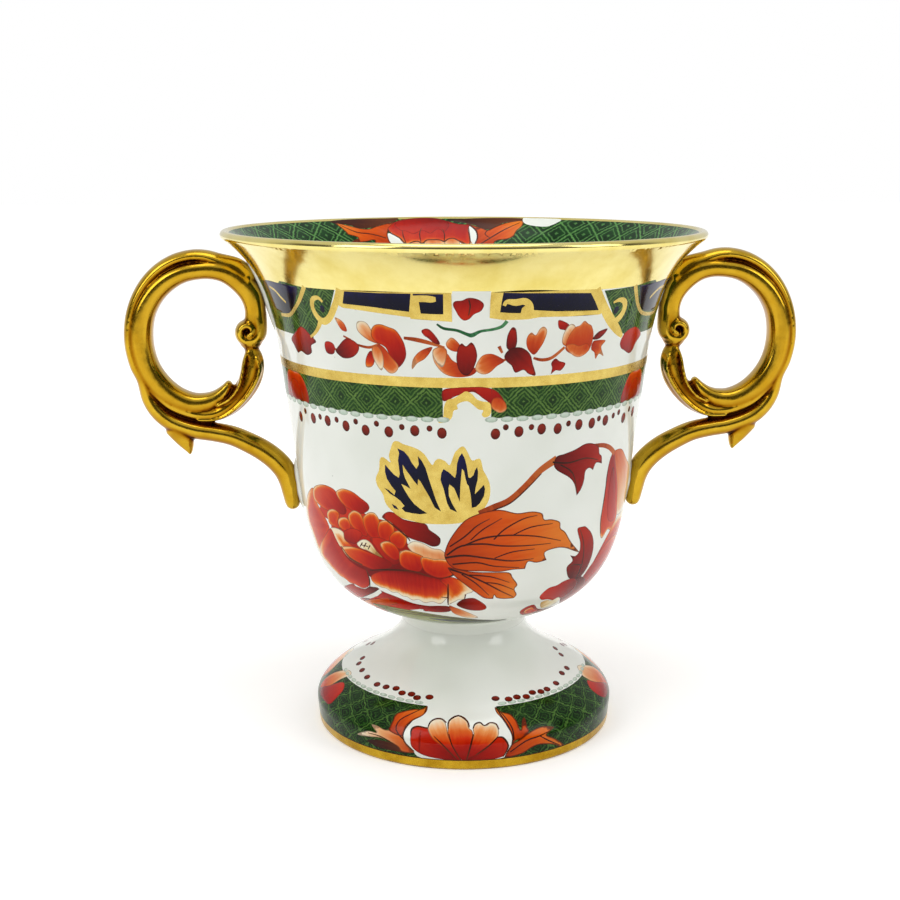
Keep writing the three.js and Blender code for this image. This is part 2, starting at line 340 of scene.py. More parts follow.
def paintOval(sheet, angle, along, width, height, paint, points=14):
    stretch = stretchAt(sheet, along)
    u, v = onSheet(sheet, angle, along)
    turns = [2 * math.pi * i / points for i in range(points)]
    outline = [(u + width / 2 * math.cos(t) * stretch, v + height / 2 * math.sin(t)) for t in turns]
    sheet["shapes"].append({"outline": outline, "paint": paint,
                            "root": (u, v - height / 2), "tip": (u, v + height / 2)})


# A brushed line through keys of (degrees, mm along, width in mm)
def paintStroke(sheet, keys, paint, steps=5):
    line = smoothLine(keys, steps)
    sides = []
    for i, (angle, along, width) in enumerate(line):
        before, after = line[max(i - 1, 0)], line[min(i + 1, len(line) - 1)]
        stretch = stretchAt(sheet, along)
        run = math.radians(after[0] - before[0]) * sheet["reference"] / stretch
        rise = after[1] - before[1]
        length = math.hypot(run, rise) or 1.0
        u, v = onSheet(sheet, angle, along)
        across, up = -rise / length * width / 2 * stretch, run / length * width / 2
        sides.append(((u + across, v + up), (u - across, v - up)))
    total = len(sides) - 1
    for i in range(total):
        (a, b), (c, d) = sides[i], sides[i + 1]
        sheet["shapes"].append({"outline": [a, b, d, c], "paint": paint, "root": None, "tip": None,
                                "span": (i / total, (i + 1) / total)})


# The triangulation takes the left side of an outline as its inside
def turnsLeft(outline):
    return sum(a[0] * b[1] - b[0] * a[1] for a, b in zip(outline, outline[1:] + outline[:1])) > 0


# The numbers of the points inside an outline
def insideOutline(points, outline):
    low, high = np.min(outline, axis=0), np.max(outline, axis=0)
    near = np.where(np.all((points >= low) & (points <= high), axis=1))[0]
    x, y = points[near].T
    inside = np.zeros(len(near), bool)
    for (ax, ay), (bx, by) in zip(outline, outline[1:] + outline[:1]):
        if ay != by:
            inside ^= ((ay > y) != (by > y)) & (x < (bx - ax) * (y - ay) / (by - ay) + ax)
    return near[inside]


# A grid of points, every second row shifted, keeps the triangles between the outlines small and even
def cutSheet(sheet, rowShift=0.25, mergeReach=1e-4):
    edge, low, high = sheet["halfWidth"], sheet["low"], sheet["high"]
    columns = 2 * round(edge / sheet["cell"])
    rows = max(1, round((high - low) / sheet["cell"]))
    us = [mix(-edge, edge, i / columns) for i in range(columns + 1)]
    vs = [mix(low, high, j / rows) for j in range(rows + 1)]
    border = [(u, low) for u in us] + [(edge, v) for v in vs[1:]]
    border += [(u, high) for u in reversed(us[:-1])] + [(-edge, v) for v in reversed(vs[1:-1])]
    points = list(border)
    loops = [list(range(len(border)))]
    for shape in sheet["shapes"]:
        start = len(points)
        points += shape["outline"] if turnsLeft(shape["outline"]) else shape["outline"][::-1]
        loops.append(list(range(start, len(points))))
    for j in range(1, rows):
        for i in range(1, columns):
            shift = rowShift * (us[1] - us[0]) * (1 if j % 2 else -1)
            points.append((us[i] + shift, vs[j]))
    verts, _, triangles, _, _, origins = delaunay_2d_cdt([Vector(p) for p in points], [], loops, 1, mergeReach, True)
    sheet["columns"] = columns
    sheet["verts"] = np.array([(min(max(v.x, -edge), edge), min(max(v.y, low), high)) for v in verts])
    sheet["triangles"] = np.array([t for t, source in zip(triangles, origins) if source and len(t) == 3])
    centres = sheet["verts"][sheet["triangles"]].mean(axis=1)
    # The paint on a triangle is that of the last outline round its middle
    sheet["tops"] = np.full(len(centres), -1)
    for number, shape in enumerate(sheet["shapes"]):
        sheet["tops"][insideOutline(centres, shape["outline"])] = number


def distanceToOutline(points, outline):
    best = np.full(len(points), np.inf)
    closed = outline + outline[:1]
    for a, b in zip(closed, closed[1:]):
        start, way = np.array(a), np.array(b) - np.array(a)
        length = float(way @ way)
        if length < 1e-12:
            continue
        share = np.clip(((points - start) @ way) / length, 0, 1)
        best = np.minimum(best, np.hypot(*(points - start - share[:, None] * way).T))
    return best


# The faces of one piece are gathered in lists, and finishGather makes the mesh of them
def newGather(paints):
    return {"verts": [], "normals": [], "faces": [], "paints": [], "wrap": [], "brush": [], "edge": [], "bake": [],
            "paintNames": paints}


# The inside is drawn as it is seen from the front, so its sheet starts at the far wall
def placed(angle, r, z, inside):
    return (r * math.sin(angle), (r if inside else -r) * math.cos(angle), z)


# Each shape gets its own seed, a golden share of a turn from the last, so that no two have the same brush marks
def gatherSheet(gather, sheet, bakeRects, seedStep=0.6180339):
    cutSheet(sheet)
    line, reference = sheet["line"], sheet["reference"]
    flat, triangles, tops = sheet["verts"], sheet["triangles"], sheet["tops"]
    spots, normals = [], []
    for u, v in flat:
        spots.append(placed(u / reference, *lineAt(line, v), sheet["inside"]))
        normals.append(placed(u / reference, *lineNormal(line, v), sheet["inside"]))
    brush = np.zeros((len(triangles), 3, 2))
    edge = np.ones((len(triangles), 3, 2))
    for top in sorted(set(tops.tolist())):
        if top < 0:
            continue
        shape = sheet["shapes"][top]
        chosen = np.where(tops == top)[0]
        corners = flat[triangles[chosen]].reshape(-1, 2)
        if shape["root"] is None:
            a, b, d, c = (np.array(p) for p in shape["outline"])
            first, last = shape["span"]
            start, way = (a + b) / 2, (c + d) / 2 - (a + b) / 2
            along = np.clip((corners - start) @ way / max(float(way @ way), 1e-9), 0, 1) * (last - first) + first
            across = np.full(len(corners), 0.5)
            distance = np.ones(len(corners))
        else:
            root = np.array(shape["root"])
            way = np.array(shape["tip"]) - root
            square = max(float(way @ way), 1e-9)
            offset = corners - root
            along = offset @ way / square
            across = (offset[:, 0] * way[1] - offset[:, 1] * way[0]) / square
            distance = distanceToOutline(corners, shape["outline"])
        seed = np.full(len(distance), (top * seedStep) % 1.0)
        brush[chosen] = np.stack([across, along], 1).reshape(-1, 3, 2)
        edge[chosen] = np.stack([distance, seed], 1).reshape(-1, 3, 2)
    index = {name: i for i, name in enumerate(gather["paintNames"])}
    paints = [index[sheet["shapes"][top]["paint"] if top >= 0 else sheet["ground"]] for top in tops]
    shares = (flat + (sheet["halfWidth"], -sheet["low"])) / (2 * sheet["halfWidth"], sheet["high"] - sheet["low"])
    for sign, (u0, v0, u1, v1) in zip((1, -1), bakeRects):
        base = len(gather["verts"])
        # sign -1 is the same half turned round to the back
        gather["verts"] += [(x * sign, y * sign, z) for x, y, z in spots]
        gather["normals"] += [(x * sign, y * sign, z) for x, y, z in normals]
        gather["faces"] += (triangles + base).tolist()
        gather["paints"] += paints
        gather["wrap"] += flat[triangles].reshape(-1, 2).tolist()
        gather["brush"] += brush.reshape(-1, 2).tolist()
        gather["edge"] += edge.reshape(-1, 2).tolist()
        baked = shares * (u1 - u0, v1 - v0) + (u0, v0)
        gather["bake"] += baked[triangles].reshape(-1, 2).tolist()


# Plain rings of one paint between two places on a turned line, with as many columns as the painted sheet beside them
def gatherRings(gather, sheet, line, low, high, rows, paint, bakeRect, inside=False):
    around = 2 * sheet["columns"]
    base = len(gather["verts"])
    alongs = [mix(low, high, j / rows) for j in range(rows + 1)]
    u0, v0, u1, v1 = bakeRect
    for along in alongs:
        for i in range(around):
            angle = -math.pi / 2 + 2 * math.pi * i / around
            gather["verts"].append(placed(angle, *lineAt(line, along), inside))
            gather["normals"].append(placed(angle, *lineNormal(line, along), inside))
    index = gather["paintNames"].index(paint)
    for j in range(rows):
        for i in range(around):
            after = (i + 1) % around
            low0, high0 = base + j * around, base + (j + 1) * around
            gather["faces"].append([low0 + i, low0 + after, high0 + after, high0 + i])
            gather["paints"].append(index)
            for di, dj in ((0, 0), (1, 0), (1, 1), (0, 1)):
                share, along = (i + di) / around, alongs[j + dj]
                gather["wrap"].append(((share * 2 * math.pi - math.pi / 2) * sheet["reference"], along))
                gather["brush"].append((0.5, along))
                gather["edge"].append((1.0, 0.5))
                gather["bake"].append((mix(u0, u1, share), mix(v0, v1, (j + dj) / rows)))


def finishGather(name, gather, materials):
    mesh = bpy.data.meshes.new(name)
    mesh.from_pydata([(x * mm, y * mm, z * mm) for x, y, z in gather["verts"]], [], gather["faces"])
    for paint in gather["paintNames"]:
        mesh.materials.append(materials[paint])
    mesh.polygons.foreach_set("material_index", gather["paints"])
    for layer in ("wrap", "brush", "edge", "bake"):
        uvs = mesh.uv_layers.new(name="OFBake" if layer == "bake" else layer)
        uvs.data.foreach_set("uv", np.array(gather[layer], dtype=np.float32).ravel())
    kept = mesh.attributes.new("keptNormal", "FLOAT_VECTOR", "POINT")
    kept.data.foreach_set("vector", np.array(gather["normals"], dtype=np.float32).ravel())
    form = bmesh.new()
    form.from_mesh(mesh)
    bmesh.ops.remove_doubles(form, verts=form.verts, dist=weldReach)
    layer = form.verts.layers.float_vector["keptNormal"]
    form.normal_update()
    wrong = [f for f in form.faces if f.normal.dot(sum((v[layer] for v in f.verts), Vector())) < 0]
    bmesh.ops.reverse_faces(form, faces=wrong)
    form.to_mesh(mesh)
    form.free()
    mesh.polygons.foreach_set("use_smooth", [True] * len(mesh.polygons))
    normals = np.zeros(len(mesh.vertices) * 3, dtype=np.float32)
    mesh.attributes["keptNormal"].data.foreach_get("vector", normals)
    mesh.attributes.remove(mesh.attributes["keptNormal"])
    mesh.normals_split_custom_set_from_vertices(normals.reshape(-1, 3).tolist())
    piece = newObject(name, mesh)
    print("%s: %d faces" % (name, len(mesh.polygons)))
    return piece


# Hard-paste porcelain under a clear feldspar glaze: a cool white with a mirror gloss, very faint waves from the
# wheel and here and there a grey speck of iron
def makeGlaze():
    look = {"white": "F2F5EE", "shade": "E9EDE4", "speck": "8C8B84", "roughness": 0.07, "ior": 1.5,
            "cloudMm": 22.0, "waveMm": 9.0, "waveDepthMm": 0.02, "speckMm": 7.0, "speckReach": (0.014, 0.026),
            "speckShare": 0.5}
    material, tree = newMaterial("glazedHardPastePorcelain")
    where = addNode(tree, "TexCoord").outputs["Object"]
    cloud = addNode(tree, "TexNoise", {"Vector": where, "Scale": 1 / (look["cloudMm"] * mm), "Detail": 2.0})
    white = addNode(tree, "ValToRGB", {"Fac": cloud}, [(0.35, look["shade"]), (0.6, look["white"])])
    cells = addNode(tree, "TexVoronoi", {"Vector": where, "Scale": 1 / (look["speckMm"] * mm)})
    speck = addNode(tree, "MapRange", {0: cells, 1: look["speckReach"][0], 2: look["speckReach"][1],
                                       3: look["speckShare"], 4: 0.0})
    color = addNode(tree, "Mix", {0: speck, 6: white, 7: linearColor(look["speck"])}, data_type="RGBA")
    wave = addNode(tree, "TexNoise", {"Vector": where, "Scale": 1 / (look["waveMm"] * mm), "Detail": 1.0})
    bump = addNode(tree, "Bump", {"Height": wave, "Strength": 1.0, "Distance": look["waveDepthMm"] * mm})
    surface = addNode(tree, "BsdfPrincipled", {
        "Base Color": color.outputs[2], "Roughness": look["roughness"], "IOR": look["ior"], "Normal": bump})
    addNode(tree, "OutputMaterial", {"Surface": surface})
    return material


# Bare porcelain: the glaze is wiped off the ring that stands in the kiln, which leaves it matt, creamy and grainy,
# with darker marks where it has stood on tables
def makeBisque():
    look = {"clay": "E4DCCB", "worn": "CFC4AE", "mark": "8A7C66", "roughness": 0.75, "ior": 1.5, "wearMm": 6.0,
            "grainMm": 0.25, "grainDepthMm": 0.03}
    material, tree = newMaterial("bareBisquePorcelain")
    where = addNode(tree, "TexCoord").outputs["Object"]
    wear = addNode(tree, "TexNoise", {"Vector": where, "Scale": 1 / (look["wearMm"] * mm), "Detail": 5.0})
    color = addNode(tree, "ValToRGB", {"Fac": wear}, [(0.32, look["mark"]), (0.42, look["worn"]), (0.6, look["clay"])])
    grain = addNode(tree, "TexNoise", {"Vector": where, "Scale": 1 / (look["grainMm"] * mm), "Detail": 3.0})
    bump = addNode(tree, "Bump", {"Height": grain, "Strength": 1.0, "Distance": look["grainDepthMm"] * mm})
    surface = addNode(tree, "BsdfPrincipled", {
        "Base Color": color, "Roughness": look["roughness"], "IOR": look["ior"], "Normal": bump})
    addNode(tree, "OutputMaterial", {"Surface": surface})
    return material


# How an enamel lies where its own table says nothing. Its stops are the colours from the root of a stroke to its tip,
# spread over span. streaks and strokes are the depth and the number of the brush marks, markReach is the part of their
# noise that is used, pale lightens the edge over paleMm, and line darkens it over lineMm
plainEnamel = {
    "span": 1.0, "streaks": 0.25, "strokes": 9.0, "strokeWaves": 1.1, "seedSpread": 37.0, "markRoughness": 0.62,
    "markReach": (0.25, 0.75),
    "pale": 0.0, "paleMm": 1.0, "line": 0.0, "lineMm": 0.0, "lineSoftMm": 0.06, "lineColor": "3A1408",
    "edgeMm": 0.3, "markHeight": 0.6, "bump": 0.6, "thickMm": 0.04, "roughness": 0.14, "ior": 1.5, "specular": 0.14,
}


# Overglaze enamel, painted with a brush and fired on: brush marks run along each stroke, the colour pools darker or
# lies thinner towards the edge, and it stands a few hundredths of a mm proud of the glaze
def makeEnamel(name, look):
    look = {**plainEnamel, **look}
    material, tree = newMaterial(name)
    brush = addNode(tree, "SeparateXYZ", {0: addNode(tree, "UVMap", uv_map="brush").outputs["UV"]})
    edge = addNode(tree, "SeparateXYZ", {0: addNode(tree, "UVMap", uv_map="edge").outputs["UV"]})
    across, along = brush.outputs["X"], brush.outputs["Y"]
    distance, seed = edge.outputs["X"], edge.outputs["Y"]
    wide = addNode(tree, "Math", {0: across, 1: look["strokes"]}, operation="MULTIPLY")
    longways = addNode(tree, "Math", {0: along, 1: look["strokeWaves"]}, operation="MULTIPLY")
    apart = addNode(tree, "Math", {0: seed, 1: look["seedSpread"]}, operation="MULTIPLY")
    hair = addNode(tree, "CombineXYZ", {"X": wide, "Y": longways, "Z": apart})
    marks = addNode(tree, "TexNoise", {"Vector": hair, "Scale": 1.0, "Detail": 4.0,
                                       "Roughness": look["markRoughness"]})
    streak = addNode(tree, "MapRange", {0: marks, 1: look["markReach"][0], 2: look["markReach"][1],
                                        3: -look["streaks"], 4: look["streaks"]})
    pale = addNode(tree, "MapRange", {0: distance, 1: 0.0, 2: look["paleMm"], 3: look["pale"], 4: 0.0},
                   interpolation_type="SMOOTHSTEP")
    reach = addNode(tree, "Math", {0: pale, 1: along}, operation="MULTIPLY")
    shade = addNode(tree, "Math", {0: along, 1: streak}, operation="ADD")
    shade = addNode(tree, "Math", {0: shade, 1: reach}, operation="ADD")
    shade = addNode(tree, "Math", {0: shade, 1: 1 / look["span"]}, operation="MULTIPLY")
    color = addNode(tree, "ValToRGB", {"Fac": shade}, look["stops"])
    rim = addNode(tree, "MapRange", {0: distance, 1: look["lineMm"] * 0.5, 2: look["lineMm"] + look["lineSoftMm"],
                                     3: look["line"], 4: 0.0})
    outlined = addNode(tree, "Mix", {0: rim, 6: color, 7: linearColor(look["lineColor"])}, data_type="RGBA")
    thick = addNode(tree, "MapRange", {0: distance, 1: 0.0, 2: look["edgeMm"], 3: 0.0, 4: 1.0})
    height = addNode(tree, "Math", {0: marks, 1: look["markHeight"], 2: thick}, operation="MULTIPLY_ADD")
    bump = addNode(tree, "Bump", {"Height": height, "Strength": look["bump"], "Distance": look["thickMm"] * mm})
    surface = addNode(tree, "BsdfPrincipled", {
        "Base Color": outlined.outputs[2], "Roughness": look["roughness"], "IOR": look["ior"],
        "Specular IOR Level": look["specular"], "Normal": bump})
    addNode(tree, "OutputMaterial", {"Surface": surface})
    return material


# Noise scales of the diaper, per mm of the wall: the hand's shake, the wear of the lines and the wash over them. The
# reaches are the parts of a noise that are used, and tone is how far the wear moves the colours
diaperNoise = {"shake": 0.9, "worn": 2.2, "wash": 0.35, "wornReach": (0.3, 0.7), "washReach": (0.35, 0.7),
               "tone": 0.05, "bump": 0.5, "thickMm": 0.03}


# Green enamel diaper: lozenges one inside another, drawn by hand in dark green over a lighter wash
def makeDiaper(name, look):
    noise = diaperNoise
    material, tree = newMaterial(name)
    wrap = addNode(tree, "UVMap", uv_map="wrap").outputs["UV"]
    shake = addNode(tree, "TexNoise", {"Vector": wrap, "Scale": noise["shake"], "Detail": 2.0})
    drift = addNode(tree, "VectorMath", {0: shake.outputs["Color"], 1: (0.5, 0.5, 0.5)}, operation="SUBTRACT")
    drift = addNode(tree, "VectorMath", {0: drift, "Scale": look["shakeMm"]}, operation="SCALE")
    held = addNode(tree, "VectorMath", {0: wrap, 1: drift}, operation="ADD")
    parts = addNode(tree, "SeparateXYZ", {0: held})
    wide = addNode(tree, "Math", {0: parts.outputs["X"], 1: 1 / look["wideMm"]}, operation="MULTIPLY")
    high = addNode(tree, "Math", {0: parts.outputs["Y"], 1: 1 / look["highMm"], 2: look["shift"]},
                   operation="MULTIPLY_ADD")
    sides = []
    for operation in ("ADD", "SUBTRACT"):
        slope = addNode(tree, "Math", {0: wide, 1: high}, operation=operation)
        step = addNode(tree, "Math", {0: slope, 1: 1.0}, operation="PINGPONG")
        # 0 on a line of the lattice, 1 half way to the next
        sides.append(addNode(tree, "Math", {0: step, 1: 0.5}, operation="PINGPONG"))
    nearest = addNode(tree, "Math", {0: sides[0], 1: sides[1]}, operation="MINIMUM")
    lattice = addNode(tree, "Math", {0: nearest, 1: 2.0}, operation="MULTIPLY")
    worn = addNode(tree, "TexNoise", {"Vector": wrap, "Scale": noise["worn"], "Detail": 3.0})
    tone = addNode(tree, "MapRange", {0: worn, 1: noise["wornReach"][0], 2: noise["wornReach"][1],
                                      3: -noise["tone"], 4: noise["tone"]})
    place = addNode(tree, "Math", {0: lattice, 1: tone}, operation="ADD")
    drawn = addNode(tree, "ValToRGB", {"Fac": place}, look["stops"])
    wash = addNode(tree, "TexNoise", {"Vector": wrap, "Scale": noise["wash"], "Detail": 3.0})
    washed = addNode(tree, "MapRange", {0: wash, 1: noise["washReach"][0], 2: noise["washReach"][1],
                                        3: 0.0, 4: look["wash"]})
    color = addNode(tree, "Mix", {0: washed, 6: drawn, 7: linearColor(look["washColor"])}, data_type="RGBA")
    bump = addNode(tree, "Bump", {"Height": lattice, "Strength": noise["bump"], "Distance": noise["thickMm"] * mm})
    surface = addNode(tree, "BsdfPrincipled", {
        "Base Color": color.outputs[2], "Roughness": plainEnamel["roughness"], "IOR": plainEnamel["ior"],
        "Specular IOR Level": plainEnamel["specular"], "Normal": bump})
    addNode(tree, "OutputMaterial", {"Surface": surface})
    return material


# Parts of the way between the dark and the bright side of a noise, and how far they move the tone and the roughness.
# facingDown and facingUp are the heights of a face's normal between which painted shade underneath turns to painted
# light on top
gildingNoise = {"dark": 0.3, "bright": 0.7, "patchy": 0.04, "smoothest": 0.75, "roughest": 1.3,
                "facingDown": -0.7, "facingUp": 0.5}


# Honey gilding: gold leaf ground with honey, painted on, fired and burnished with agate. It shows fine burnishing
# marks, a soft gloss and, where it has rubbed thin, a browner tone. Where crease stops are given, painted shade also
# darkens it to brown in the creases and on faces that look down, and faces that look up are painted lighter
def makeGilding(name, look):
    noise = gildingNoise
    material, tree = newMaterial(name)
    where = addNode(tree, "TexCoord").outputs["Object"]
    cloud = addNode(tree, "TexNoise", {"Vector": where, "Scale": 1 / (look["cloudMm"] * mm), "Detail": 4.0,
                                       "Roughness": 0.6})
    color = addNode(tree, "ValToRGB", {"Fac": cloud}, look["stops"]).outputs["Color"]
    if "creaseShadeStops" in look:
        # painted shade: 0 on the ridges and 1 deep in the creases, where the gold is darkened
        creaseShade = addNode(tree, "Attribute", attribute_name="creaseShade").outputs["Fac"]
        patchy = addNode(tree, "MapRange", {0: cloud, 1: noise["dark"], 2: noise["bright"],
                                            3: -noise["patchy"], 4: noise["patchy"]})
        # painted shade and light: the gold is made browner on faces that look down and lighter on faces that look up
        facing = addNode(tree, "SeparateXYZ", {0: addNode(tree, "TexCoord").outputs["Normal"]})
        under = addNode(tree, "MapRange", {0: facing.outputs["Z"], 1: noise["facingDown"], 2: noise["facingUp"],
                                           3: look["undersideShade"], 4: -look["topsideLight"]})
        depth = addNode(tree, "Math", {0: creaseShade, 1: patchy}, operation="ADD")
        depth = addNode(tree, "Math", {0: depth, 1: under}, operation="ADD")
        # painted shade: the crease depth and the facing turn the gold browner, multiplied over its own tone
        brown = addNode(tree, "ValToRGB", {"Fac": depth}, look["creaseShadeStops"])
        color = addNode(tree, "Mix", {0: 1.0, 6: color, 7: brown}, data_type="RGBA", blend_type="MULTIPLY").outputs[2]
    fine = addNode(tree, "TexNoise", {"Vector": where, "Scale": 1 / (look["grainMm"] * mm), "Detail": 3.0})
    rough = addNode(tree, "MapRange", {0: fine, 1: noise["dark"], 2: noise["bright"],
                                       3: look["roughness"] * noise["smoothest"],
                                       4: look["roughness"] * noise["roughest"]})
    swell = addNode(tree, "TexNoise", {"Vector": where, "Scale": 1 / (look["swellMm"] * mm), "Detail": 1.0})
    height = addNode(tree, "Math", {0: fine, 1: look["grainShare"], 2: swell}, operation="MULTIPLY_ADD")
    bump = addNode(tree, "Bump", {"Height": height, "Strength": 1.0, "Distance": look["swellDepthMm"] * mm})
    surface = addNode(tree, "BsdfPrincipled", {
        "Base Color": color, "Metallic": 1.0, "Roughness": rough, "Normal": bump})
    addNode(tree, "OutputMaterial", {"Surface": surface})
    return material


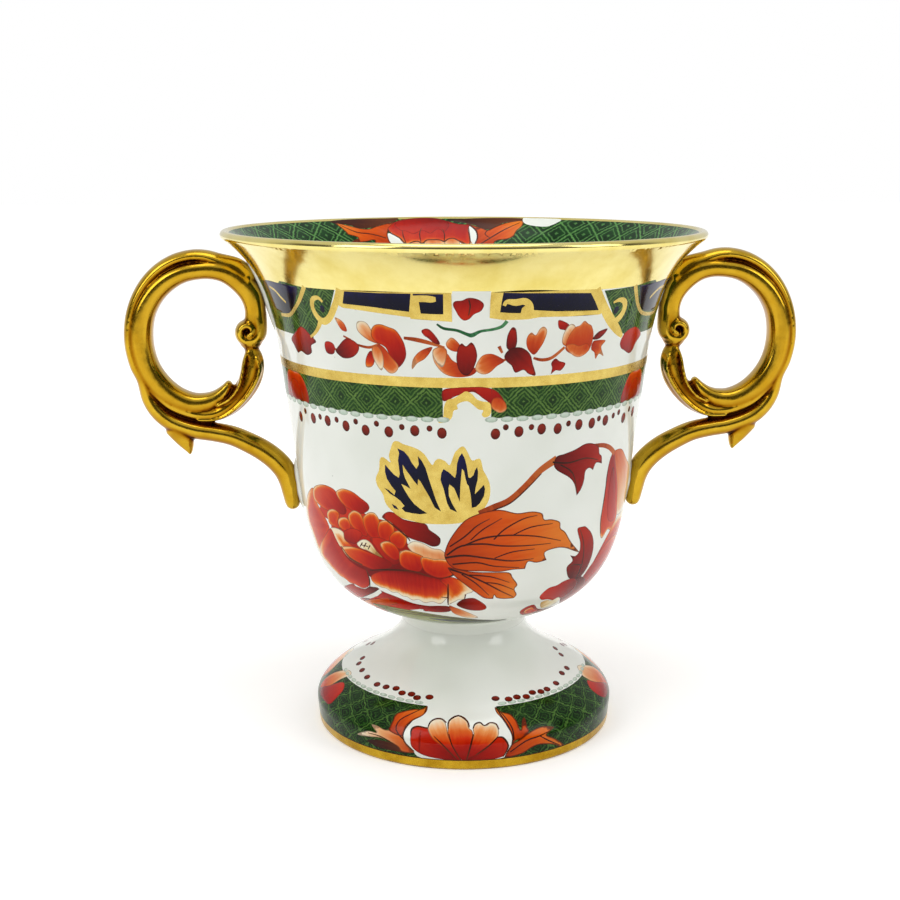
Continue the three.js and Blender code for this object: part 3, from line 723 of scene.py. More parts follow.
materials = {
    "glaze": makeGlaze(),
    "bisque": makeBisque(),
    # the wide band under the lip: pale gold, burnished until it mirrors the room
    "rimGold": makeGilding("burnishedRimGilding", {
        "stops": [(0.3, "D8C56A"), (0.62, "E6D88C")], "cloudMm": 9.0, "grainMm": 0.5, "roughness": 0.11,
        "swellMm": 7.0, "swellDepthMm": 0.03, "grainShare": 0.05}),
    # lines drawn with a brush and left unburnished, so they are duller and grainy
    "lineGold": makeGilding("paintedLineGilding", {
        "stops": [(0.3, "B89C4A"), (0.65, "CEB662")], "cloudMm": 3.0, "grainMm": 0.4, "roughness": 0.28,
        "swellMm": 1.5, "swellDepthMm": 0.03, "grainShare": 0.4}),
    # the edge that stands on the table, rubbed to a deeper yellow
    "footGold": makeGilding("wornBaseGilding", {
        "stops": [(0.3, "A87F16"), (0.65, "CBA52C")], "cloudMm": 4.0, "grainMm": 0.4, "roughness": 0.26,
        "swellMm": 3.0, "swellDepthMm": 0.03, "grainShare": 0.2}),
    # the castings, with painted shade: brown in every crease and on faces that look down, lighter on the ridges and on
    # top
    "handleGold": makeGilding("castHandleGildingPaintedShade", {
        "stops": [(0.3, "B89226"), (0.65, "CDAE40")], "cloudMm": 5.0, "grainMm": 0.4, "roughness": 0.18,
        "swellMm": 3.0, "swellDepthMm": 0.05, "grainShare": 0.04, "undersideShade": 0.2, "topsideLight": 0.12,
        "creaseShadeStops": [(0.0, "FFFDE6"), (0.42, "F4E8B4"), (0.66, "C6A458"), (0.84, "7C501C"), (1.0, "452609")]}),
    # the bands of lozenges, on the bowl, inside the lip and closer and darker on the foot
    "diaper": makeDiaper("greenDiaperEnamel", {
        "wideMm": 6.444, "highMm": 6.6, "shift": 0.0, "shakeMm": 0.7, "wash": 0.5, "washColor": "26501A",
        "stops": [(0.0, "64883C"), (0.06, "5E8038"), (0.11, "14330A"), (0.22, "183A0C"), (0.27, "5E8236"),
                  (0.33, "587A32"), (0.39, "14330A"), (0.52, "1A3C0E"), (0.57, "50742E"), (0.63, "4A6C2A"),
                  (0.69, "132E09"), (0.9, "132E09"), (0.96, "62863A")]}),
    "lipDiaper": makeDiaper("lipDiaperEnamel", {
        "wideMm": 6.444, "highMm": 7.6, "shift": -0.72, "shakeMm": 0.5, "wash": 0.25, "washColor": "2C6A2C",
        "stops": [(0.0, "649650"), (0.05, "528644"), (0.11, "06280A"), (0.31, "0A2E0E"), (0.36, "5A8A4C"),
                  (0.42, "3E6E34"), (0.48, "06280A"), (0.84, "06260A"), (0.9, "4E7E42")]}),
    "darkDiaper": makeDiaper("darkGreenDiaperEnamel", {
        "wideMm": 4.363, "highMm": 4.4, "shift": 0.1, "shakeMm": 1.5, "wash": 0.55, "washColor": "1C3A12",
        "stops": [(0.0, "547A34"), (0.07, "426828"), (0.14, "081C04"), (0.26, "0C2606"), (0.33, "3E6828"),
                  (0.4, "224C14"), (0.48, "081C04"), (0.66, "071A03"), (0.74, "305A1E"), (0.82, "0A2004")]}),
    # leaves: clear green, and a browner green that shows its brush marks
    "green": makeEnamel("greenEnamel", {
        "stops": [(0.0, "144A22"), (0.5, "22643A"), (1.0, "4C8A58")], "streaks": 0.3, "strokes": 5.0}),
    "olive": makeEnamel("oliveEnamel", {
        "stops": [(0.0, "2C3818"), (0.4, "6E7838"), (0.7, "979C5E"), (1.0, "5C6434")], "streaks": 0.4,
        "strokes": 7.0, "lineMm": 0.25, "line": 0.8, "lineColor": "1E2410"}),
    # blue fired under the glaze: almost black, and glossier than the enamels
    "navy": makeEnamel("underglazeBlue", {
        "stops": [(0.0, "020214"), (0.6, "050526"), (1.0, "0C0C42")], "streaks": 0.2, "strokes": 3.0,
        "roughness": 0.1}),
    # iron red, thin and strong, with a dark line where it pools at the edge
    "red": makeEnamel("ironRedEnamel", {
        "stops": [(0.0, "7A0602"), (0.45, "A81002"), (1.0, "C8280A")], "streaks": 0.12, "strokes": 6.0,
        "lineMm": 0.15, "line": 0.6, "lineColor": "4A0C06"}),
    "darkRed": makeEnamel("darkIronRedEnamel", {
        "stops": [(0.0, "560402"), (0.5, "900C02"), (1.0, "B42004")], "streaks": 0.14, "strokes": 6.0,
        "lineMm": 0.18, "line": 0.7, "lineColor": "2E0805"}),
    "dot": makeEnamel("ironRedDotEnamel", {
        "stops": [(0.0, "5A1206"), (0.5, "7E1C0C"), (1.0, "962A14")], "streaks": 0.2, "strokes": 3.0,
        "lineMm": 0.2, "line": 0.6, "lineColor": "30180C"}),
    # petals: iron red washed out with a wet brush, to orange and then to cream at the tip
    "petal": makeEnamel("washedRedPetalEnamel", {
        "stops": [(0.0, "8E0802"), (0.25, "B41402"), (0.45, "CC3002"), (0.62, "D84C06"), (0.8, "E67C22"),
                  (0.95, "F2C48A")],
        "span": 1.6, "streaks": 0.12, "strokes": 7.0, "pale": 0.62, "paleMm": 1.1, "lineMm": 0.14, "line": 0.75,
        "lineColor": "5A1E0A"}),
    "broadPetal": makeEnamel("washedBroadPetalEnamel", {
        "stops": [(0.0, "8E0802"), (0.2, "B41402"), (0.36, "CC3002"), (0.5, "D84C06"), (0.62, "E67C22"),
                  (0.76, "F2C48A"), (0.9, "F6E6C6")],
        "span": 1.7, "streaks": 0.14, "strokes": 12.0, "pale": 1.1, "paleMm": 2.8, "lineMm": 0.14, "line": 0.7,
        "lineColor": "5A1E0A"}),
    "tipPetal": makeEnamel("washedTipPetalEnamel", {
        "stops": [(0.0, "8E0802"), (0.34, "B01404"), (0.5, "CC3008"), (0.66, "DC6420"), (0.8, "EC9C58"),
                  (0.92, "F2CCA0"), (1.0, "F4E4C8")],
        "streaks": 0.08, "strokes": 7.0, "pale": 0.16, "paleMm": 0.5, "lineMm": 0.14, "line": 0.7,
        "lineColor": "5A1E0A"}),
    "orangePetal": makeEnamel("washedOrangePetalEnamel", {
        "stops": [(0.0, "A82604"), (0.35, "C8420C"), (0.7, "DC6E2C"), (1.0, "ECAE78")],
        "span": 1.15, "streaks": 0.14, "strokes": 7.0, "pale": 0.4, "paleMm": 0.9, "lineMm": 0.12, "line": 0.5,
        "lineColor": "6E2C10"}),
    "palePetal": makeEnamel("palePetalEnamel", {
        "stops": [(0.0, "C23E0E"), (0.3, "DC7434"), (0.6, "ECB07A"), (1.0, "F4E6C8")],
        "span": 1.4, "streaks": 0.12, "strokes": 7.0, "pale": 0.6, "paleMm": 1.5, "lineMm": 0.14, "line": 0.65,
        "lineColor": "6A3414"}),
    # iron orange and brown laid on thick and opaque, and a cream and a chalky green for hearts and scallops
    "orange": makeEnamel("orangeLeafEnamel", {
        "stops": [(0.0, "B03402"), (0.5, "D65204"), (1.0, "E67E26")], "streaks": 0.2, "strokes": 9.0,
        "lineMm": 0.24, "line": 0.9, "lineColor": "4A1604"}),
    "brown": makeEnamel("brownLineEnamel", {
        "stops": [(0.0, "2E1006"), (0.5, "44190A"), (1.0, "5A2C14")], "streaks": 0.2}),
    "stem": makeEnamel("orangeStemEnamel", {
        "stops": [(0.0, "8C3008"), (0.5, "B44A14"), (1.0, "C4662C")], "streaks": 0.3}),
    "centre": makeEnamel("flowerCentreEnamel", {
        "stops": [(0.0, "C89A50"), (0.5, "EAD6A4"), (1.0, "F2ECD4")], "streaks": 0.4, "strokes": 12.0,
        "lineMm": 0.12, "line": 0.5, "lineColor": "5A3A12"}),
    "scallop": makeEnamel("paleScallopEnamel", {
        "stops": [(0.0, "B4C6B4"), (0.6, "CCDACC"), (1.0, "DDE6DA")], "streaks": 0.2, "lineMm": 0.12, "line": 0.4,
        "lineColor": "6E8068"}),
}
print("materials made: %d" % len(materials))


# The outside of the bowl, drawn in degrees round from the front and mm up the wall from the waist

bands = {
    "reference": 40.0,
    "cell": 1.0,
    "rows": {"lip": 16, "inside": 50, "underside": 3},
    "rimGoldFrom": 89.2,
    "cornerGreen": (77.8, 89.2),
    "goldLine": (69.2, 71.3),
    "diaper": (62.8, 69.2),
    "scallops": {"along": 62.5, "step": 4.6, "count": 19, "size": (2.7, 1.2)},
    "largeDots": {"along": 59.6, "waver": 0.4, "size": (2.0, 2.4), "at": (
        -64.7, -56.1, -48.6, -40.8, -33.5, -25.7, -17.6, -9.6, 5.9, 12.9, 20, 25.4, 33.1, 38.4, 44.7, 55.5, 63.3)},
    "smallDots": {"along": 60.7, "waver": 0.2, "size": (1.25, 1.35), "at": (
        -60.7, -52.2, -44.5, -36.9, -29.6, -21.5, -13.2, 8.9, 16.7, 29.1, 41.4, 48.7, 51.8, 59.3)},
}
bowlSheet = newSheet(bowlOutside, 0.0, bowlOutside["total"], bands["reference"], bands["cell"], "glaze")


# Paints a list of (paint, root and tip of the brush where they matter, outline)
def paintAll(sheet, shapes, steps=4):
    for paint, *brush, keys in shapes:
        paintShape(sheet, keys, paint, *brush, steps=steps)


# Rim gilding, with the corners of green and blue beside the handles under it
paintBand(bowlSheet, bands["rimGoldFrom"], bowlOutside["total"], "rimGold")
for first, last in ((-89, -50), (48, 89)):
    paintBand(bowlSheet, *bands["cornerGreen"], "diaper", first, last)
paintAll(bowlSheet, [
    ("diaper", [(-58.9, 77.9), (-60.5, 89.2), (-49, 89.2), (-37.3, 89.2), (-37.3, 89.2), (-39.2, 86.8), (-41.9, 83.5),
     (-44.8, 82), (-47.4, 79.5), (-50.9, 78)]),
    ("diaper", [(34.6, 88.8), (34.6, 88.8), (45.6, 89.2), (58.3, 89.2), (56.8, 77.9), (52.8, 78.1), (47.2, 78.5),
     (44.5, 80.1), (41.7, 82.2), (38.6, 85.1)]),
    ("navy", (-61.8, 83.5), (-62.5, 88.9), [(-72.5, 89.1), (-50.9, 89.1), (-50.9, 89.1), (-53.1, 86.8), (-56.4, 84.2),
     (-59.5, 82.5), (-65.8, 82.2), (-73.1, 83.5)]),
    ("navy", (58.7, 83.5), (59.3, 88.9), [(48.7, 89.1), (48.7, 89.1), (72.4, 89.1), (72.4, 83.5), (63.8, 82.4),
     (56.6, 82.9), (53.1, 84.4), (51.4, 86.2)]),
    ("darkRed", (-55.6, 72.9), (-56.1, 79.7), [(-62.9, 76.6), (-59, 78.5), (-55.1, 79.9), (-51.3, 78.3), (-49.2, 77),
     (-51.8, 76), (-52.1, 74.5), (-54.7, 73.7), (-57.7, 74.3), (-60, 73.8), (-61.7, 75.2)]),
    ("red", (52.4, 72.9), (53, 79.7), [(46.9, 76.8), (48.8, 78.7), (53, 79.5), (56.9, 78.7), (59.1, 77.2),
     (56.6, 75.8), (55.1, 74.3), (52.9, 73.7), (49.8, 74.6), (47.6, 75.4)]),
])
for keys in (
    [(-47.8, 89.4, 1), (-50.5, 87.3, 1), (-52.9, 85.6, 0.9), (-56.3, 83.7, 0.8), (-60.5, 82, 0.8), (-66.7, 81.6, 0.7)],
    [(46.2, 89.4, 1), (48.8, 87, 1), (51.9, 84.4, 0.9), (56, 82.4, 0.8), (62.6, 81.6, 0.8), (69, 81.6, 0.7)],
    [(-60.4, 84.8, 0.6), (-62.7, 85.9, 0.7), (-65.1, 87.3, 0.7), (-68.5, 87.9, 0.6)],
    [(58.4, 85.5, 0.6), (60.7, 86.6, 0.7), (64, 87.5, 0.7), (68.4, 87.5, 0.6)],
    [(-45.4, 82, 1.3), (-47.1, 80.2, 0.9), (-49.2, 78.8, 0.7), (-51.5, 77.9, 0.5)],
    [(-42.9, 86.1, 0.6), (-44.2, 87, 0.9), (-46.5, 86.4, 1.1), (-47.5, 84.6, 1.2), (-46.6, 82.7, 1.4),
     (-44.4, 81.7, 1.5), (-41.8, 82.7, 1.5), (-39.4, 84.9, 1.5), (-37.3, 87.3, 1.4), (-35.7, 89.5, 1.4)],
    [(31.9, 89.5, 1.4), (34.6, 86.8, 1.6), (37.1, 84.3, 2.1), (40.6, 81.7, 2.3), (44.4, 79.4, 1.9), (47.3, 77.8, 0.8)],
    [(39.6, 85.8, 0.5), (41.9, 86.3, 1), (44.2, 85.7, 1.3), (45.2, 84.2, 1.5), (44.4, 82.5, 1.6), (42.4, 81.4, 1.6)],
):
    paintStroke(bowlSheet, keys, "lineGold")
paintOval(bowlSheet, 41.7, 84.0, 1.5, 1.7, "navy")
paintOval(bowlSheet, -43.7, 84.5, 1.3, 1.6, "navy")

# The fret: blue panels in gilt frames, with a hooked key at each side of the little reserve in the middle
paintAll(bowlSheet, [
    ("lineGold", [(-36.3, 89.3), (-38.2, 85.9), (-36.5, 85.2), (-27.3, 84.6), (-17.1, 83.8), (-17.1, 83.5), (-6.3, 83),
     (-6.3, 89.4), (-17.3, 89.4)]),
    ("lineGold", [(3.2, 89.5), (3.3, 83.8), (7, 83.3), (13, 83.3), (17, 83.7), (25.1, 83.5), (35.7, 83.4),
     (37.4, 84.8), (33, 89.3), (21.3, 89.5)]),
    ("navy", (-26.2, 84.4), (-26.4, 89.8), [(-34.4, 89), (-36, 86.2), (-35.7, 86.1), (-26.3, 85.7), (-17.4, 85),
     (-17.3, 85), (-16.3, 89.1), (-24.4, 89)]),
    ("navy", (-11.1, 84.4), (-11.2, 89.8), [(-15.8, 89.1), (-15.8, 88.4), (-14.5, 87.2), (-14.3, 84.7), (-11.1, 84.6),
     (-8.5, 84.6), (-8.4, 87), (-8.3, 89.1), (-11.7, 89.1)]),
    ("navy", (21.1, 84.4), (21.3, 89.8), [(6.3, 89.4), (6.1, 87.2), (5.9, 85), (8.4, 84.8), (11.3, 84.7), (11.5, 85.8),
     (12.7, 86.6), (14.1, 85.9), (14.4, 85.3), (21.1, 84.8), (34.5, 84.4), (34.6, 84.5), (32.7, 86.4), (30.3, 88.5),
     (21.3, 88.9), (11.1, 89.2)]),
], steps=0)
paintStroke(bowlSheet, [(-16.3, 87.9, 1.5), (-13.2, 88, 1.5), (-11.4, 87.9, 1.5), (-10.2, 87.9, 1)], "lineGold")
paintStroke(bowlSheet, [(6.8, 86.4, 0.7), (7.5, 87.3, 1), (9.7, 87.1, 1.5), (11.9, 87.3, 1.5), (13.4, 86.4, 1.4),
    (13.9, 84.8, 1.4), (13.6, 83.8, 1.4)], "lineGold")
paintAll(bowlSheet, [
    ("glaze", [(-6.1, 89.8), (-6.1, 89.8), (-6.3, 82.5), (-6.3, 82.5), (3.1, 82.5), (3.1, 82.5), (3.3, 89.8),
     (3.3, 89.8)]),
    ("red", (-2.1, 88.9), (-2.1, 83.5), [(-6, 86.6), (-5.5, 87.5), (-3.7, 87.7), (-2.1, 88.3), (0, 88), (1.4, 87.2),
     (1.7, 86.4), (1, 85.3), (-0.7, 84.6), (-1.9, 83.6), (-3.3, 83.3), (-4.5, 84.1), (-5.3, 85.3)]),
])
paintStroke(bowlSheet, [(-2.1, 87.9, 0.25), (-1.7, 86.4, 0.3), (-2.1, 84.4, 0.2)], "brown")
paintStroke(bowlSheet, [(-10.3, 82.5, 0.4), (-8.5, 81.6, 0.6), (-5.1, 81.2, 0.6), (-2.5, 80.4, 0.7), (-1.1, 80.2, 0.9),
    (1.1, 81, 0.6), (4.5, 81.4, 0.6), (6.7, 82, 0.7), (7.9, 83.1, 0.8)], "green")

# The trail of flowers below the fret
for keys in (
    [(-42.3, 76.1, 0.5), (-40.8, 75.8, 0.5)],
    [(-33.9, 77.4, 0.5), (-29.9, 77, 0.6), (-26.5, 77.9, 0.5)],
    [(-19.4, 79.4, 0.6), (-16, 79.1, 0.9), (-12.4, 78.5, 0.8), (-8.4, 77.6, 0.4)],
    [(-38, 79, 0.4), (-35.5, 78.3, 0.4)],
    [(6.1, 77.8, 0.7), (7.1, 76.4, 0.5)],
    [(6.4, 74.6, 0.6), (8.4, 75.1, 0.5)],
    [(16, 75.1, 0.5), (18.7, 74.6, 0.7), (21.7, 75, 0.7), (25.3, 77, 0.6)],
    [(10, 77.8, 0.3), (10.4, 74.8, 0.4)],
):
    paintStroke(bowlSheet, keys, "stem")
paintAll(bowlSheet, [
    ("red", (-43.8, 74.8), (-43.9, 77.8), [(-45.8, 76.1), (-45.4, 77.2), (-43.9, 77.5), (-42.2, 77.1), (-41.7, 76.1),
     (-42.4, 75), (-43.8, 74.7), (-45.3, 75)]),
    ("darkRed", (-40.8, 75.2), (-33.9, 77.8), [(-41.6, 75.6), (-39.9, 77), (-38.4, 78), (-36.7, 78.6), (-34.5, 78.1),
     (-33.1, 77.1), (-33.8, 75.7), (-35.8, 74.6), (-38.3, 74.2), (-40, 74.5)]),
    ("orangePetal", (-36.8, 79.7), (-39.2, 82.9), [(-39.9, 82.8), (-38.1, 82.5), (-36.9, 81.6), (-36.4, 80.2),
     (-37.4, 80), (-38.7, 80.6)]),
    ("petal", (-28.9, 75.8), (-30.8, 72.5), [(-31.5, 72.9), (-31.3, 74.6), (-29.9, 76.2), (-28.7, 76), (-28.6, 74.1),
     (-29.8, 72.9)]),
    ("palePetal", (-27.9, 77.8), (-33.1, 82.2), [(-33.1, 80.8), (-32.6, 82.3), (-30.6, 82.5), (-29.3, 81.8),
     (-28, 79.7), (-26.9, 78), (-29.5, 78.4), (-32, 79.6)]),
    ("petal", (-23.9, 73.9), (-25.2, 83.5), [(-28.6, 80.8), (-27.5, 81.8), (-25.7, 82.1), (-23.5, 81.6), (-21.5, 81),
     (-20, 79.3), (-19.2, 77.6), (-19.1, 75.6), (-20.3, 73.9), (-21.9, 73.1), (-23.5, 74.8), (-24.9, 77.2),
     (-27.3, 78.1), (-28.8, 79.3)]),
    ("orangePetal", (-26, 78.7), (-21.9, 71), [(-27.1, 77.8), (-25.3, 77.2), (-23.5, 75.4), (-21.5, 73.5),
     (-22.3, 72.2), (-23.9, 71.8), (-25.4, 72.5), (-27.1, 74.3), (-27.5, 76.2)]),
    ("palePetal", (-25.9, 77.8), (-28.2, 72.9), [(-28.9, 77.2), (-27.1, 77.4), (-25.9, 75.8), (-25.9, 73.5),
     (-26.8, 72.3), (-28.4, 73.9), (-29.1, 75.6)]),
    ("red", (-10, 78.3), (-14.5, 81.4), [(-14.4, 81.1), (-12.7, 81.5), (-10.9, 80.2), (-9.6, 78.4), (-11, 78.4),
     (-12.8, 79.5), (-14, 80.2)]),
    ("orangePetal", (-11.8, 77.8), (-17.5, 72.9), [(-17.6, 72.9), (-17.2, 75), (-15, 76.8), (-11.8, 77.7),
     (-12.4, 76.5), (-14, 75.1), (-16, 74.2)]),
    ("orangePetal", (-4.1, 75.8), (-12, 73.9), [(-11.7, 76.4), (-11.2, 74.3), (-9, 72.3), (-6, 71.5), (-3.1, 71.5),
     (-0.7, 72), (0.3, 73.1), (-2.1, 73.9), (-4.6, 74.3), (-6.4, 75), (-7.8, 76.4), (-10.2, 77.2)]),
    ("palePetal", (-7, 77.4), (-11.6, 73.9), [(-11.4, 77.2), (-9.4, 77.8), (-7.8, 77), (-8.2, 74.8), (-9.2, 73.5),
     (-10.8, 74.6), (-11.7, 76)]),
    ("orangePetal", (-4.1, 76.8), (-8.1, 79.7), [(-8, 78.6), (-6.7, 79.7), (-5.3, 79.1), (-4.1, 77.8), (-4.7, 76.8),
     (-6.4, 76.9), (-7.7, 77.6)]),
    ("darkRed", (-2.5, 71), (-2.5, 79.7), [(-5.3, 75.2), (-4.9, 77.3), (-3.9, 78.5), (-2.7, 77.9), (-1.3, 78.7),
     (-0.2, 77.6), (0.3, 75.8), (-0.3, 73.9), (-1.7, 72.1), (-3.3, 71.9), (-4.7, 73.1)]),
    ("orangePetal", (7.4, 74.6), (-0.1, 72.9), [(-0.1, 73.7), (1.5, 75.8), (3.9, 76.3), (6.1, 75.7), (7.8, 74.7),
     (5.8, 73.7), (3.9, 72.4), (2.1, 72), (0.3, 72.6)]),
    ("darkRed", (9.4, 76.8), (9.5, 82), [(8.1, 77.9), (8.3, 80.1), (9.4, 81.7), (10.5, 81.2), (11, 78.7), (10.4, 77.1),
     (8.8, 77)]),
    ("darkRed", (9.8, 76.8), (16.7, 71.3), [(7.7, 75.8), (9.2, 77.2), (11.8, 77.5), (13.8, 76.8), (15.2, 75.6),
     (15.9, 73.9), (17, 71.5), (14.9, 71.8), (13.3, 72.7), (11, 72.2), (9.8, 73.7), (8.4, 74.6)]),
    ("orangePetal", (15.8, 75.8), (17.5, 82), [(13.7, 77.9), (13.7, 79.5), (14.8, 80.5), (16.1, 79.9), (17.1, 81.2),
     (18.3, 81.6), (19.3, 80.6), (18.8, 78.7), (17.8, 77.2), (16.2, 75.8), (14.6, 76.6)]),
    ("red", (25.9, 80.6), (22, 82.9), [(22.2, 82.8), (24, 82.5), (25.9, 81.6), (26.3, 80.3), (24.5, 80.6),
     (22.7, 81.1)]),
    ("palePetal", (27.7, 77.8), (23.9, 80.6), [(24.2, 78.3), (24.5, 80.1), (26.1, 81.8), (27.9, 81.2), (28.2, 78.7),
     (26.7, 77.2), (24.9, 77.4)]),
    ("orangePetal", (30.6, 74.8), (29.9, 85.3), [(25.5, 77.2), (26.2, 79.3), (27.7, 81), (29.3, 81.4), (30.6, 82.3),
     (32.1, 81.6), (33.5, 81), (34.7, 79.1), (34.5, 77), (33.5, 75.6), (31.6, 74.8), (29.7, 74.7), (27.7, 75.4),
     (25.9, 76.2)]),
    ("orangePetal", (30.8, 79.7), (27.6, 73.9), [(25.7, 77.1), (27.7, 77.6), (30.1, 77), (32.7, 77.4), (34.1, 76.2),
     (32.4, 75), (30.1, 74.6), (27.7, 75.4)]),
    ("darkRed", (34.7, 78.1), (39.9, 80.1), [(34.6, 78.2), (36.4, 79.6), (39.8, 80.1), (38.8, 78.9), (36.7, 78)]),
    ("orangePetal", (34.7, 76.8), (40.6, 74.8), [(34.9, 77.6), (37.2, 77.8), (39.9, 77.5), (38.5, 76.2), (40, 74.2),
     (38, 74.8), (36.8, 73.8), (36, 75.2), (34.6, 76)]),
    ("red", (21.7, 74.5), (25.2, 71.5), [(21.5, 73.8), (22.7, 74.7), (24.1, 74.1), (26.1, 73.5), (24.8, 72.1),
     (23.1, 72.2), (21.7, 71.5), (21.9, 72.7)]),
])

# The gilt line, the diaper band and the little ogee reserve in its middle
paintBand(bowlSheet, *bands["goldLine"], "lineGold")
paintBand(bowlSheet, *bands["diaper"], "diaper", -90, -9.2)
paintBand(bowlSheet, *bands["diaper"], "diaper", 4.5, 90)
for centre in (-66, 61):
    paintAll(bowlSheet, [
        ("petal", (centre, 63.2), (centre, 71.9), [(centre - 9, 63.1), (centre - 8, 66.1), (centre - 5, 69),
            (centre, 69.2), (centre + 5, 69), (centre + 8, 66.5), (centre + 8.6, 63.1), (centre + 4, 63),
            (centre - 4, 63)]),
        ("red", (centre, 62.2), (centre, 69), [(centre - 4, 63.1), (centre - 4.4, 65.7), (centre - 1, 67.5),
            (centre + 3, 66.9), (centre + 5, 64.6), (centre + 4, 63.1)]),
    ])
paintAll(bowlSheet, [
    ("red", (-1.1, 64.2), (-1.1, 71.9), [(-9.3, 66.7), (-9, 68.8), (-5, 69.3), (-2.1, 69.4), (1.9, 69.4), (5.2, 68.8),
     (7.2, 67.5), (8.6, 65.7), (8.4, 64.6), (6.4, 64.4), (4.6, 64.8), (3.7, 66.1), (1.9, 67.1), (0.4, 68),
     (-1.1, 68.4), (-3.1, 67.9), (-5.5, 67.5), (-8, 66.5)]),
    ("orangePetal", (6.8, 68), (5.8, 63.2), [(5, 66.9), (6.8, 67.1), (8.6, 65.9), (8.8, 64.5), (7, 63.9), (5.2, 64.6),
     (4.4, 65.5)]),
    ("lineGold", [(-10.6, 61.9), (-9.2, 63.1), (-8.9, 65.1), (-8, 66.6), (-6, 67.1), (-4.2, 67.9), (-2.7, 68.5),
     (-1.1, 68), (0.3, 66.9), (1.9, 66.4), (3.9, 66.1), (4.5, 64.9), (4.2, 63.5), (2.7, 63), (1.8, 63.6), (2.2, 64.5),
     (0.9, 64.7), (-0.3, 65.4), (-2.1, 66.4), (-4.1, 66.2), (-5.2, 65.6), (-5, 64.8), (-6.2, 64.4), (-6.6, 63.1),
     (-8, 62.1)]),
])

# Scallops and dots hang below the diaper, with a gap for the reserve. The ends of the diaper are painted once more,
# over the halves of the scallops there
scallops = bands["scallops"]
for i in range(-scallops["count"], scallops["count"] + 1):
    if not -1 <= i <= 0:
        paintOval(bowlSheet, scallops["step"] * i, scallops["along"], *scallops["size"], "scallop", points=10)
paintBand(bowlSheet, *bands["diaper"], "diaper", -90, -76)
paintBand(bowlSheet, *bands["diaper"], "diaper", 72, 90)
for dots, points in ((bands["largeDots"], 14), (bands["smallDots"], 10)):
    for angle in dots["at"]:
        paintOval(bowlSheet, angle, dots["along"] + dots["waver"] * math.sin(angle), *dots["size"], "dot",
                  points=points)

